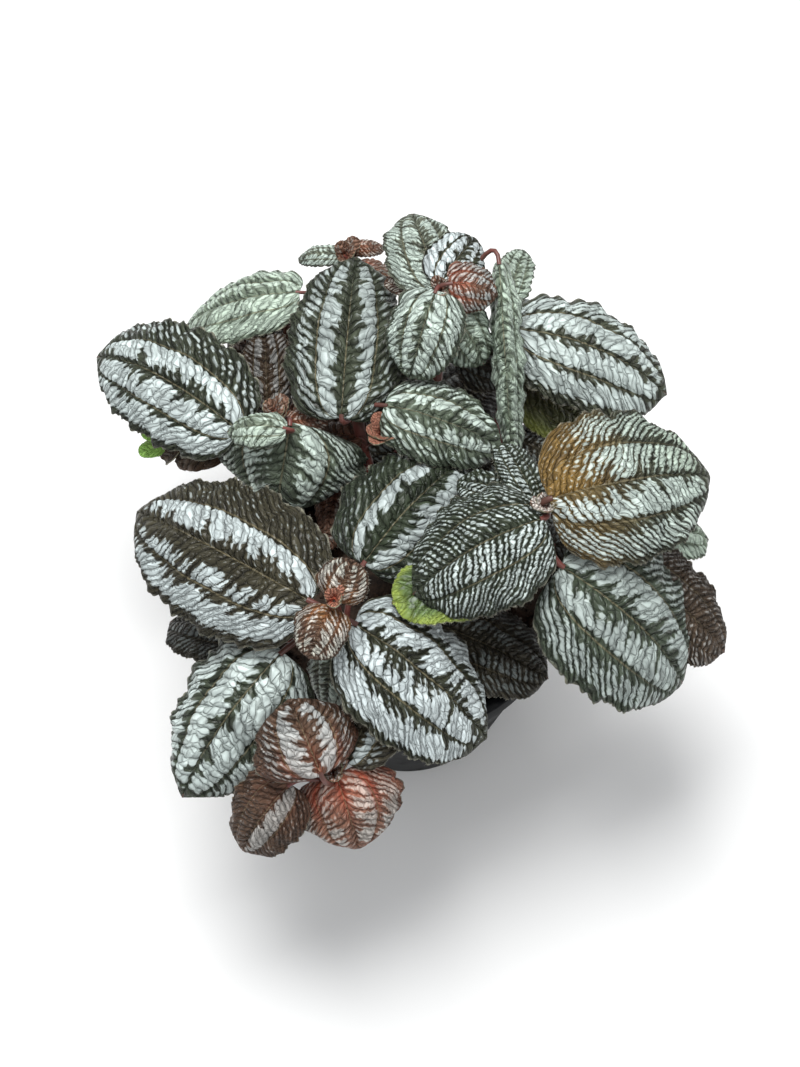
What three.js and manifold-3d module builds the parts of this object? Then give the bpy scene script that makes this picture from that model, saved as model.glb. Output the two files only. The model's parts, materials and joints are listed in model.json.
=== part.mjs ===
// A friendship plant in its nursery pot: eight leafy stems with quilted,
// three-ribbed leaves, one withered shoot, the potting soil and the pot.
// Millimetres, +Z up, origin at the middle of the underside of the pot.

import * as THREE from 'three';
import { mergeVertices } from 'three/addons/utils/BufferGeometryUtils.js';
import Module from 'manifold-3d';

// ---------------------------------------------------------------- dimensions

const POT_HEIGHT = 105;
const POT_RIM_RADIUS = 62;
const POT_BASE_RADIUS = 43;
const POT_WALL = 2;
const POT_LIP_HEIGHT = 9;
const POT_LIP_REACH = 2.5;
const POT_FOOT_HEIGHT = 2;
const POT_SEGMENTS = 32;
const DRAIN_COUNT = 6;
const DRAIN_RADIUS = 4.5;
const DRAIN_CIRCLE = 27;
const DRAIN_SIDES = 10;

const CLEARANCE = 0.3;
const SOIL_LEVEL = 95;
const SOIL_SEGMENTS = 26;
const SOIL_RINGS = [0.86, 0.6, 0.3];
const SOIL_EDGE_DROP = 3;
const SOIL_LUMP = 1.1;
const SOIL_WAVE = 7;

const HOLE_DEPTH = 24;
const STEM_SIDES = 6;
const STEM_STEPS = 6;
const STEM_LIFT = 0.35;
const STEM_DROP = 0.45;
const STEM_OVERLAP = 1;
const TOP_NODE = 0.97;
const NODE_STEP = 0.027;
const PETIOLE_SIDES = 4;
const PETIOLE_STEPS = 3;
const PETIOLE_BITE = 1.4;
const PETIOLE_REACH = 0.4;
const PETIOLE_RADIUS = 0.7;
const PETIOLE_GROWTH = 1 / 80;

const BLADE_THICKNESS = 0.9;
const BLADE_SKEW = 0.14;
const BLADE_BLUNTNESS = 0.68;
const BASE_LOBE = 0.07;
const TIP_LOBE = 0.04;
const SPINE_STEPS = 16;
const SIDE_RIB = 0.48;
const SIDE_RIB_SHARE = 0.7;
const RIB_SPREAD = 0.12;
const RIB_DEPTH = 1.3;
const PAD_HEIGHT = 0.8;
const PUCKER = 0.6;
const TOOTH = 1;
const END_POINT = 0.5;

// Points across a blade of each size: margin, outer pad, side rib, inner pad,
// midrib and back. Only the wide ones have room for all three ribs.
const BLADE_GRIDS = [
  { from: 45, rows: 9, swell: 1, columns: [-1, -0.73, -0.47, -0.22, 0, 0.22, 0.47, 0.73, 1] },
  { from: 30, rows: 6, swell: 0.8, columns: [-1, -0.47, -0.22, 0, 0.22, 0.47, 1] },
  { from: 13, rows: 5, swell: 0.6, columns: [-1, -0.3, 0, 0.3, 1] },
  { from: 0, rows: 3, swell: 0.3, columns: [-1, 0, 1] },
];

// ------------------------------------------------------------- planting plan
// A stem stands in the soil at root and reaches its crown. Each leaf blade
// runs from its base to its tip and has a width. It arches down by arch and
// turns to its left by turn on the way (degrees). roll lifts its left side,
// fold lifts both halves from the midrib, and curl bends the margins down.
// node tells how far up the stem its stalk starts, from 0 to 1. lift and drop
// say how far a stem rises straight up from the soil and into its crown.

const STEMS = {
  stem_back: {
    root: [8, 34], crown: [13, 96, 168], radius: 3, color: 0x5b5a4c,
    leaves: [
      { from: [11, 99, 172], to: [2, 139, 163], width: 33, arch: 50, roll: 6 },
      { from: [13, 99, 175], to: [27, 124, 168], width: 24, arch: 45, roll: 15, curl: 30 },
      { from: [16, 96, 180], to: [35, 97, 170], width: 22, arch: 55, roll: 20, fold: -10, curl: 30 },
      { from: [11, 94, 178], to: [1, 67, 158], width: 31, arch: 55, roll: 6, curl: 30 },
      { from: [15, 94, 170], to: [30, 77, 151], width: 27, arch: 45 },
      { from: [10, 100, 168], to: [-8, 111, 160], width: 14, arch: 30, curl: 20 },
      {
        from: [36, 110, 174], to: [42, 41, 130], width: 34,
        arch: 40, turn: 5, roll: 10, fold: -60, curl: 20, node: 0.8,
      },
      { from: [0, 76, 122], to: [-13, 100, 109], width: 27, arch: 40, node: 0.7 },
      { from: [13, 74, 120], to: [36, 98, 106], width: 36, arch: 40, node: 0.8 },
    ],
  },
  stem_back_right: {
    root: [30, 24], crown: [42, 92, 132], radius: 2.6, color: 0x6c7270,
    leaves: [
      { from: [44, 97, 144], to: [106, 83, 116], width: 54, arch: 50, turn: -15, roll: -4 },
      { from: [45, 105, 132], to: [70, 121, 118], width: 28, arch: 40, roll: -5, curl: 30 },
      { from: [41, 112, 141], to: [49, 143, 130], width: 16, arch: 40, roll: 15, curl: 30 },
      { from: [46, 84, 124], to: [70, 71, 106], width: 30, arch: 30, roll: -10, curl: 20, node: 0.8 },
      { from: [44, 62, 116], to: [72, 50, 104], width: 28, arch: 50, node: 0.6 },
    ],
  },
  stem_right: {
    root: [38, -6], crown: [50, 4, 170], radius: 3.2, color: 0x5f5f55,
    leaves: [
      { from: [52, 3, 180], to: [114, 23, 160], width: 62, arch: 60, turn: 10, roll: 15 },
      { from: [50, -3, 176], to: [3, -24, 156], width: 52, arch: 60, turn: 8, roll: 3 },
      {
        from: [57, -16, 162], to: [107, -41, 109], width: 66,
        arch: 60, turn: 5, roll: 5, fold: 6, curl: 50,
      },
      { from: [35, -12, 152], to: [-5, -26, 151], width: 34, arch: 40, roll: 10, curl: 20, node: 0.6 },
      { from: [48, 11, 159], to: [20, 28, 145], width: 19, arch: 45, curl: 30 },
      { from: [48, 11, 163], to: [37, 42, 149], width: 16, arch: 40, roll: 6, curl: 30 },
      { from: [78, 17, 136], to: [120, 18, 113], width: 30, arch: 40, roll: -10, curl: 30, node: 0.5 },
      { from: [60, 14, 124], to: [84, 36, 108], width: 29, arch: 50, node: 0.5 },
      { from: [81, -3, 138], to: [125, -26, 103], width: 40, arch: 45, curl: 30, node: 0.6 },
    ],
  },
  stem_center: {
    root: [-18, -24], crown: [-27, -35, 166], radius: 3.2, color: 0x55554a,
    leaves: [
      { from: [-26, -34, 172], to: [-20, -23, 182], width: 19, arch: 50, roll: 4, fold: 15 },
      { from: [-28, -36, 170], to: [-36, -54, 166], width: 21, arch: 60, fold: 10, curl: 50 },
      { from: [-36, -32, 166], to: [-104, 18, 138], width: 61, arch: 50, turn: -14, roll: -17 },
      { from: [-20, -37, 157], to: [29, -67, 117], width: 60, arch: 50, turn: -5, roll: -12 },
      {
        from: [-17, -7, 144], to: [22, 40, 138], width: 52,
        arch: 55, turn: -4, roll: 8, curl: 45, node: 0.6,
      },
      { from: [9, -22, 122], to: [54, -39, 107], width: 38, arch: 40, curl: 30, node: 0.4 },
      {
        from: [-28, -37, 147], to: [-31, -56, 119], width: 21,
        arch: 40, roll: 20, curl: 30, node: 0.7,
      },
      {
        from: [-47, -44, 146], to: [-86, -86, 104], width: 59,
        arch: 55, turn: 4, roll: -6, fold: -15, node: 0.6,
      },
      {
        from: [-55, -29, 124], to: [-94, -14, 103], width: 33,
        arch: 40, roll: 15, curl: 30, node: 0.4,
      },
    ],
  },
  stem_front: {
    root: [-20, -41], crown: [-28, -86, 122], radius: 2.8, lift: 20, color: 0x5a4738,
    leaves: [
      { from: [-32, -90, 139], to: [-44, -64, 147], width: 44, arch: 55, curl: 50 },
      { from: [-23, -82, 130], to: [-8, -53, 134], width: 28, arch: 50, roll: -10 },
      { from: [-27, -86, 128], to: [-19, -107, 104], width: 46, arch: 55, roll: 12, curl: 50 },
      { from: [-44, -89, 126], to: [-63, -106, 98], width: 32, arch: 55, roll: -8 },
    ],
  },
  stem_left: {
    root: [-44, 14], crown: [-54, 50, 140], radius: 2.8, color: 0x777d79,
    leaves: [
      { from: [-67, 50, 146], to: [-128, 99, 118], width: 51, arch: 60, roll: -24 },
      {
        from: [-46, 51, 150], to: [-52, 26, 122], width: 74,
        arch: 65, turn: -8, roll: -4, fold: -7, curl: 50,
      },
      { from: [-56, 64, 136], to: [-58, 100, 142], width: 22, arch: 40, roll: -8, curl: 30 },
      { from: [-47, 43, 160], to: [-70, 46, 152], width: 17, arch: 65, curl: 60 },
      { from: [-57, 12, 118], to: [-84, 7, 106], width: 24, arch: 50, node: 0.6 },
      { from: [-49, 53, 144], to: [-32, 58, 140], width: 12, arch: 30, curl: 30 },
    ],
  },
  stem_middle: {
    root: [-8, 20], crown: [-20, 60, 140], radius: 3, color: 0x4f534a,
    leaves: [
      { from: [-26, 52, 152], to: [-21, 124, 153], width: 50, arch: 50, roll: 4, curl: 45 },
      { from: [-22, 66, 136], to: [-4, 101, 132], width: 26, arch: 40, roll: -5, curl: 30 },
      { from: [-9, 57, 153], to: [36, 44, 143], width: 36, arch: 60, turn: 6, roll: 6 },
      { from: [-26, 53, 117], to: [-33, 18, 103], width: 16, arch: 25, roll: 10, curl: 20, node: 0.6 },
      { from: [-16, 52, 128], to: [4, 64, 117], width: 26, arch: 40, node: 0.75 },
    ],
  },
  stem_small: {
    root: [-18, 42], crown: [-25, 130, 138], radius: 1.8, lift: 24, color: 0x7a3b30,
    leaves: [
      { from: [-26, 132, 144], to: [-45, 137, 134], width: 11, arch: 50 },
      { from: [-23, 135, 144], to: [-10, 140, 138], width: 9, arch: 40 },
      {
        from: [-44, 113, 146], to: [-91, 118, 116], width: 34,
        arch: 60, roll: 15, curl: 30, node: 0.75,
      },
      { from: [-47, 118, 126], to: [-75, 107, 100], width: 36, arch: 20, curl: 20, node: 0.7 },
      { from: [-22, 128, 142], to: [-6, 121, 143], width: 12, arch: 30, curl: 30 },
    ],
  },
  withered_shoot: {
    root: [-33, 36], crown: [-88, 73, 107], radius: 1.6, lift: 22, drop: -6, color: 0x5a4030,
    leaves: [
      { from: [-75, 62, 108], to: [-96, 59, 101], width: 15, arch: 40, node: 0.8 },
      { from: [-94, 67, 103], to: [-101, 62, 95], width: 10, arch: 60, curl: -60 },
      { from: [-97, 69, 107], to: [-106, 71, 110], width: 8, arch: 20, curl: 20 },
      { from: [-99, 66, 105], to: [-108, 65, 105], width: 7, arch: 20, curl: 20 },
    ],
  },
};

// -------------------------------------------------------------- solid helpers

const wasm = await Module();
wasm.setup();

function toSolid(geometry) {
  const bare = geometry.clone();
  bare.deleteAttribute('normal');
  bare.deleteAttribute('uv');
  const merged = mergeVertices(bare, 1e-4);
  const vertProperties = new Float32Array(merged.attributes.position.array);
  const triVerts = new Uint32Array(merged.index.array);
  return new wasm.Manifold(new wasm.Mesh({ numProp: 3, vertProperties, triVerts }));
}

function toMesh(solid, name, material) {
  const { vertProperties, triVerts } = solid.getMesh();
  const geometry = new THREE.BufferGeometry();
  geometry.setAttribute('position', new THREE.BufferAttribute(vertProperties, 3));
  geometry.setIndex(new THREE.BufferAttribute(triVerts, 1));
  geometry.computeVertexNormals();
  const mesh = new THREE.Mesh(geometry, material);
  mesh.name = name;
  return mesh;
}

function matte(color, roughness) {
  return new THREE.MeshStandardMaterial({ color, roughness, metalness: 0 });
}

function standingCylinder(x, y, bottom, top, radius, sides) {
  const cylinder = new THREE.CylinderGeometry(radius, radius, top - bottom, sides);
  cylinder.rotateX(Math.PI / 2);
  cylinder.translate(x, y, (bottom + top) / 2);
  return toSolid(cylinder);
}

function tube(path, radius, sides, steps) {
  const section = new THREE.Shape();
  for (let i = 0; i < sides; i += 1) {
    const angle = (2 * Math.PI * i) / sides;
    const x = radius * Math.cos(angle);
    const y = radius * Math.sin(angle);
    if (i === 0) {
      section.moveTo(x, y);
    } else {
      section.lineTo(x, y);
    }
  }
  return toSolid(new THREE.ExtrudeGeometry(section, { steps, extrudePath: path, bevelEnabled: false }));
}

// A closed skin over a grid: ring after ring of points from one pole to the
// other, with each ring going once around the body.
function skin(firstPole, rings, lastPole) {
  const count = rings[0].length;
  const points = [firstPole, ...rings.flat(), lastPole];
  const last = points.length - 1;
  const index = [];
  for (let i = 0; i < count; i += 1) {
    const next = (i + 1) % count;
    index.push(0, 1 + i, 1 + next);
    for (let ring = 0; ring < rings.length - 1; ring += 1) {
      const near = 1 + ring * count;
      const far = near + count;
      index.push(near + i, far + i, near + next);
      index.push(near + next, far + i, far + next);
    }
    index.push(last, last - count + next, last - count + i);
  }
  const geometry = new THREE.BufferGeometry();
  geometry.setAttribute('position', new THREE.Float32BufferAttribute(points.flat(), 3));
  geometry.setIndex(index);
  return toSolid(geometry);
}

// ------------------------------------------------------------------------ pot

function pot() {
  const lipRadius = POT_RIM_RADIUS;
  const wallRadius = POT_RIM_RADIUS - POT_LIP_REACH;
  const lipBottom = POT_HEIGHT - POT_LIP_HEIGHT;
  const profile = [
    [0, 0],
    [POT_BASE_RADIUS - POT_FOOT_HEIGHT, 0],
    [POT_BASE_RADIUS, POT_FOOT_HEIGHT],
    [wallRadius, lipBottom],
    [lipRadius, lipBottom],
    [lipRadius, POT_HEIGHT],
    [wallRadius - POT_WALL, POT_HEIGHT],
    [wallRadius - POT_WALL, lipBottom],
    [POT_BASE_RADIUS - POT_WALL, POT_FOOT_HEIGHT + POT_WALL],
    [0, POT_FOOT_HEIGHT + POT_WALL],
  ].map(([r, z]) => new THREE.Vector2(r, z));
  const body = new THREE.LatheGeometry(profile, POT_SEGMENTS);
  body.rotateX(Math.PI / 2);
  let solid = toSolid(body);
  for (let i = 0; i < DRAIN_COUNT; i += 1) {
    const angle = (2 * Math.PI * i) / DRAIN_COUNT;
    const x = DRAIN_CIRCLE * Math.cos(angle);
    const y = DRAIN_CIRCLE * Math.sin(angle);
    solid = solid.subtract(standingCylinder(x, y, -1, POT_HEIGHT / 2, DRAIN_RADIUS, DRAIN_SIDES));
  }
  return toMesh(solid, 'pot', matte(0x17181a, 0.5));
}

// ----------------------------------------------------------------------- soil

// The inner radius of the pot at a height above its floor.
function potInside(z) {
  const low = POT_FOOT_HEIGHT + POT_WALL;
  const high = POT_HEIGHT - POT_LIP_HEIGHT;
  const share = Math.min(1, (z - low) / (high - low));
  const bottom = POT_BASE_RADIUS - POT_WALL;
  const top = POT_RIM_RADIUS - POT_LIP_REACH - POT_WALL;
  return bottom + share * (top - bottom);
}

// The soil's surface is a sum of a long and a short wave.
function soilHeight(x, y) {
  const long = Math.sin(x / SOIL_WAVE + 1) * Math.cos(y / SOIL_WAVE);
  const short = Math.sin((2 * x - y) / SOIL_WAVE) / 2;
  return SOIL_LEVEL + SOIL_LUMP * (long + short);
}

function soil() {
  const facing = Math.cos(Math.PI / SOIL_SEGMENTS);
  const bottom = POT_FOOT_HEIGHT + POT_WALL + CLEARANCE;
  const edge = SOIL_LEVEL - SOIL_EDGE_DROP;
  const radiusAt = (z) => (potInside(z) - CLEARANCE) * facing;
  const ring = (radius, heightAt) => {
    const points = [];
    for (let i = 0; i < SOIL_SEGMENTS; i += 1) {
      const angle = (-2 * Math.PI * i) / SOIL_SEGMENTS;
      const x = radius * Math.cos(angle);
      const y = radius * Math.sin(angle);
      points.push([x, y, heightAt(x, y)]);
    }
    return points;
  };
  const rings = [
    ring(radiusAt(bottom), () => bottom),
    ring(radiusAt(edge), () => edge),
    ...SOIL_RINGS.map((share) => ring(share * radiusAt(edge), soilHeight)),
  ];
  let solid = skin([0, 0, bottom], rings, [0, 0, soilHeight(0, 0)]);
  const floor = SOIL_LEVEL - HOLE_DEPTH - CLEARANCE;
  const holeGap = CLEARANCE / Math.cos(Math.PI / STEM_SIDES);
  for (const { root, radius } of Object.values(STEMS)) {
    const hole = standingCylinder(root[0], root[1], floor, POT_HEIGHT, radius + holeGap, STEM_SIDES);
    solid = solid.subtract(hole);
  }
  return toMesh(solid, 'soil', matte(0x2c221a, 0.95));
}

// ---------------------------------------------------------------- leaf blades

const radians = THREE.MathUtils.degToRad;

function heading(yaw, pitch) {
  const flat = Math.cos(pitch);
  return new THREE.Vector3(flat * Math.cos(yaw), flat * Math.sin(yaw), Math.sin(pitch));
}

// An arc is longer than its chord by this ratio.
function arcRatio(angle) {
  return angle === 0 ? 1 : (angle / 2) / Math.sin(angle / 2);
}

// The run of a blade's midrib, worked out from its two ends and its bends.
function midrib({ from, to, arch = 30, turn = 0 }) {
  const start = new THREE.Vector3(...from);
  const chord = new THREE.Vector3(...to).sub(start);
  const bend = radians(arch);
  const veer = radians(turn);
  const yaw = Math.atan2(chord.y, chord.x) - veer / 2;
  const pitch = Math.asin(chord.z / chord.length()) + bend / 2;
  const length = chord.length() * arcRatio(bend) * arcRatio(veer);
  const directionAt = (s) => heading(yaw + veer * s, pitch - bend * s);
  const points = [start];
  for (let i = 0; i < SPINE_STEPS; i += 1) {
    const step = directionAt((i + 0.5) / SPINE_STEPS).multiplyScalar(length / SPINE_STEPS);
    points.push(points[i].clone().add(step));
  }
  return { points, length, directionAt, yawAt: (s) => yaw + veer * s };
}

function spineAt(points, s) {
  const place = Math.min(Math.max(s, 0), 1) * SPINE_STEPS;
  const index = Math.min(Math.floor(place), SPINE_STEPS - 1);
  return points[index].clone().lerp(points[index + 1], place - index);
}

// How far the surface sinks over the ribs and rises over the pads.
function relief(across) {
  const inMidrib = Math.exp(-((across / RIB_SPREAD) ** 2));
  const inSideRib = Math.exp(-(((across - SIDE_RIB) / RIB_SPREAD) ** 2));
  const sunk = Math.min(1, inMidrib + SIDE_RIB_SHARE * inSideRib);
  return PAD_HEIGHT * (1 - across ** 4) - (RIB_DEPTH + PAD_HEIGHT) * sunk;
}

// A blade is a skin of two like faces, BLADE_THICKNESS apart. Its rows are
// puckered in turn, and their ends step out and in as teeth of the margin.
function blade(leaf) {
  const { width, roll = 0, fold = 0, curl = 40 } = leaf;
  const { points, length, directionAt, yawAt } = midrib(leaf);
  const { rows, swell, columns } = BLADE_GRIDS.find((grid) => width >= grid.from);

  const surface = (phi, t, pucker, tooth) => {
    const s = (1 - Math.cos(phi)) / 2;
    const across = Math.abs(t);
    const forward = directionAt(s);
    const yaw = yawAt(s);
    const level = new THREE.Vector3(-Math.sin(yaw), Math.cos(yaw), 0);
    const left = level.clone().applyAxisAngle(forward, radians(roll));
    const up = forward.clone().cross(left);
    const outline = Math.sin(phi) ** BLADE_BLUNTNESS * (1 + BLADE_SKEW * Math.cos(phi));
    const reach = (width / 2) * Math.abs(outline) * across + swell * tooth * across ** 4;
    const lean = radians(fold - (curl * across) / 2);
    const lobes = TIP_LOBE * s ** 3 - BASE_LOBE * (1 - s) ** 3;
    const point = spineAt(points, s);
    point.addScaledVector(forward, lobes * length * across ** 2);
    point.addScaledVector(left, Math.sign(t) * reach * Math.cos(lean));
    point.addScaledVector(up, reach * Math.sin(lean));
    const slope = radians(fold - curl * across) * Math.sign(t);
    const normal = up.multiplyScalar(Math.cos(slope)).addScaledVector(left, -Math.sin(slope));
    const shape = Math.sin(phi);
    return { point: point.addScaledVector(normal, swell * shape * (relief(across) + pucker)), normal };
  };

  const half = BLADE_THICKNESS / 2;
  const offset = ({ point, normal }, distance) => point.clone().addScaledVector(normal, distance).toArray();
  const rings = [];
  for (let row = 1; row <= rows; row += 1) {
    const phi = (Math.PI * row) / (rows + 1);
    const wave = row % 2 === 0 ? 1 : -1;
    const line = columns.map((t) => surface(phi, t, PUCKER * wave * Math.sqrt(Math.abs(t)), TOOTH * wave));
    const upper = line.map((place) => offset(place, half));
    const lower = line.map((place) => offset(place, -half));
    rings.push([...upper, ...lower.toReversed()]);
  }
  const end = (phi, shift) => {
    const { point } = surface(phi, 0, 0, 0);
    return point.addScaledVector(directionAt(phi / Math.PI), shift).toArray();
  };
  return skin(end(0, -END_POINT), rings, end(Math.PI, END_POINT));
}

// --------------------------------------------------------------------- stems

// A stem leaves the soil upwards, leans outwards and turns up again.
function stemCurve({ root, crown, lift, drop }) {
  const foot = new THREE.Vector3(root[0], root[1], SOIL_LEVEL + STEM_OVERLAP);
  const head = new THREE.Vector3(...crown);
  const height = head.z - foot.z;
  const leaving = foot.clone().setZ(foot.z + (lift ?? STEM_LIFT * height));
  const arriving = head.clone().setZ(head.z - (drop ?? STEM_DROP * height));
  return new THREE.CubicBezierCurve3(foot, leaving, arriving, head);
}

// A leaf stalk leaves the stem upwards and runs into the base of its blade.
// The stalks start one below the other down the stem.
function petiole(curve, leaf, stemRadius, index) {
  const node = (leaf.node ?? TOP_NODE) - NODE_STEP * index;
  const start = curve.getPoint(node);
  const base = new THREE.Vector3(...leaf.from);
  const ahead = midrib(leaf).directionAt(0);
  const reach = start.distanceTo(base) * PETIOLE_REACH;
  const end = base.clone().addScaledVector(ahead, PETIOLE_BITE);
  const leaving = curve.getTangent(node).multiplyScalar(reach).add(start);
  const arriving = base.clone().addScaledVector(ahead, -reach);
  const path = new THREE.CubicBezierCurve3(start, leaving, arriving, end);
  const radius = Math.min(stemRadius / 2, PETIOLE_RADIUS + leaf.width * PETIOLE_GROWTH);
  return tube(path, radius, PETIOLE_SIDES, PETIOLE_STEPS);
}

function leafyStem(name, stem) {
  const { root, radius, leaves } = stem;
  const curve = stemCurve(stem);
  const bottom = SOIL_LEVEL - HOLE_DEPTH;
  const top = SOIL_LEVEL + 2 * STEM_OVERLAP;
  const pieces = [
    standingCylinder(root[0], root[1], bottom, top, radius, STEM_SIDES),
    tube(curve, radius, STEM_SIDES, STEM_STEPS),
  ];
  leaves.forEach((leaf, index) => {
    pieces.push(petiole(curve, leaf, radius, index), blade(leaf));
  });
  const solid = pieces.reduce((whole, piece) => whole.add(piece));
  return toMesh(solid, name, matte(stem.color, 0.45));
}

// ---------------------------------------------------------------------- model

const plant = new THREE.Group();
plant.add(pot());
plant.add(soil());
for (const [name, stem] of Object.entries(STEMS)) {
  plant.add(leafyStem(name, stem));
}

export default plant;
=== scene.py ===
# %% [markdown]
# # A friendship plant in its nursery pot
# A friendship plant is a small houseplant with oval leaves that look quilted. Three
# ribs run through each leaf, the skin between the side veins swells like cushions,
# and silver bands lie on a dark olive or bronze ground. The plant stands in a plain
# black nursery pot. A packed model of simple solids is loaded first. Everything in
# this lesson is made around those solids, in metres, and replaces them one by one.

# %% Load the frame
import json
import math
from dataclasses import dataclass

import bmesh
import bpy
import numpy as np
from mathutils import Matrix, Vector, noise

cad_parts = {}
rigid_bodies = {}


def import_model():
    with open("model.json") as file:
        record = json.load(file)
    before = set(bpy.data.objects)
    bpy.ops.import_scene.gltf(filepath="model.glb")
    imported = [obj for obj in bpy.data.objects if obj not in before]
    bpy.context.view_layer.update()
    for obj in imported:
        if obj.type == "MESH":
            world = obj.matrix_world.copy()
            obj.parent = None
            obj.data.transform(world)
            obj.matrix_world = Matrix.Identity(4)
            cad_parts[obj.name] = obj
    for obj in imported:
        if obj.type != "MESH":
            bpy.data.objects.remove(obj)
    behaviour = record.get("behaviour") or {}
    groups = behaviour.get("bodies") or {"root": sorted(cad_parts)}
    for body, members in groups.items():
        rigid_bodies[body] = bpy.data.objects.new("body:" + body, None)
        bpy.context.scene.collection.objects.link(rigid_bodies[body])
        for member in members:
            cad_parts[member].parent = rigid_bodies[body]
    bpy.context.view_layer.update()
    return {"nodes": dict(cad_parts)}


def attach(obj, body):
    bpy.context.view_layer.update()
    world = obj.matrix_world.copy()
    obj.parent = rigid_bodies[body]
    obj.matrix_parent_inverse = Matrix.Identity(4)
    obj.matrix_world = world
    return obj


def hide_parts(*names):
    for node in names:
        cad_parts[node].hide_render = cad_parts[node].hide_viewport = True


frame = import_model()
MM = 0.001
dice = np.random.default_rng(11)
print("solids:", ", ".join(sorted(frame["nodes"])))

# %% [markdown]
# ## The camera
# The camera looks down on the plant at 65 degrees. It is placed on a line from a
# point between the leaves, so its distance and its angle are plain values.
# A long lens at 0.8 m keeps the far leaves nearly as large as the near ones.

# %% Camera
LOOK_AT = Vector((-3, 10, 135)) * MM
CAMERA_DISTANCE = 0.8
CAMERA_ELEVATION = math.radians(65)
LENS = 69.2
FILM_WIDTH = 36
CLIP_START = 10 * MM


def placed(name, data):
    """Puts data into the scene as an object."""
    made = bpy.data.objects.new(name, data)
    bpy.context.scene.collection.objects.link(made)
    return made


camera = placed("camera", bpy.data.cameras.new("camera"))
back = Vector((0, -math.cos(CAMERA_ELEVATION), math.sin(CAMERA_ELEVATION)))
camera.location = LOOK_AT + CAMERA_DISTANCE * back
camera.rotation_euler = (-back).to_track_quat("-Z", "Y").to_euler()
camera.data.lens = LENS
camera.data.sensor_width = FILM_WIDTH
camera.data.clip_start = CLIP_START
bpy.context.scene.camera = camera
print("camera at", [round(value, 3) for value in camera.location])

# %% [markdown]
# ## The planting plan
# Every leaf is written down as a gardener would describe it: where its blade starts
# and ends, how wide it is, how it arches, turns, rolls and folds, and which look it
# has. The plan is in millimetres and degrees, like the solids it follows. A stem
# stands at its root in the soil and reaches its crown, where most stalks start. A
# look is a set of numbers, so that many leaves can share one material.

# %% Leaf, look and stem records
@dataclass
class Look:
    """Where the silver lies on a leaf, the tones of its ground, and its quilting.

    core is the dark strip along the midrib. inner and outer say how full the silver
    is inside and outside the side ribs, and rim is where it ends. wedge is the length
    of the dark feathers, and sheen the brightness of the silver. warm, red, amber and
    green tone the leaf, and old and edge yellow or brown it. shade is painted shade: it
    darkens the whole leaf, for leaves that lie in shadow. pitch is the gap between side
    veins in millimetres, and quilt the height of the cushions. A pair holds a value for
    the left half of the blade and one for the right.
    """
    core: float = 0.08
    inner: float = 0.95
    outer: float = 0.6
    rim: float = 0.92
    warm: float = 0.3
    red: float = 0
    amber: float = 0
    green: float = 0.2
    old: float = 0
    edge: float = 0
    shade: float = 0
    wedge: float = 0.26
    sheen: float = 0.85
    pitch: float = 3.4
    quilt: float = 1


@dataclass
class Leaf:
    """One blade: its two ends, its bends, and how far up the stem its stalk starts."""
    base: tuple
    tip: tuple
    width: float
    look: str
    arch: float = 40
    turn: float = 0
    roll: float = 0
    fold: float = 0
    curl: float = 40
    node: float = 0.97


@dataclass
class Stem:
    """A stem from its root to its crown. lift and drop steer the bends of its curve."""
    root: tuple
    crown: tuple
    radius: float
    slot: str
    leaves: list
    lift: float = None
    drop: float = None


print("a leaf's numbers:", ", ".join(Leaf.__annotations__))

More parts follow.
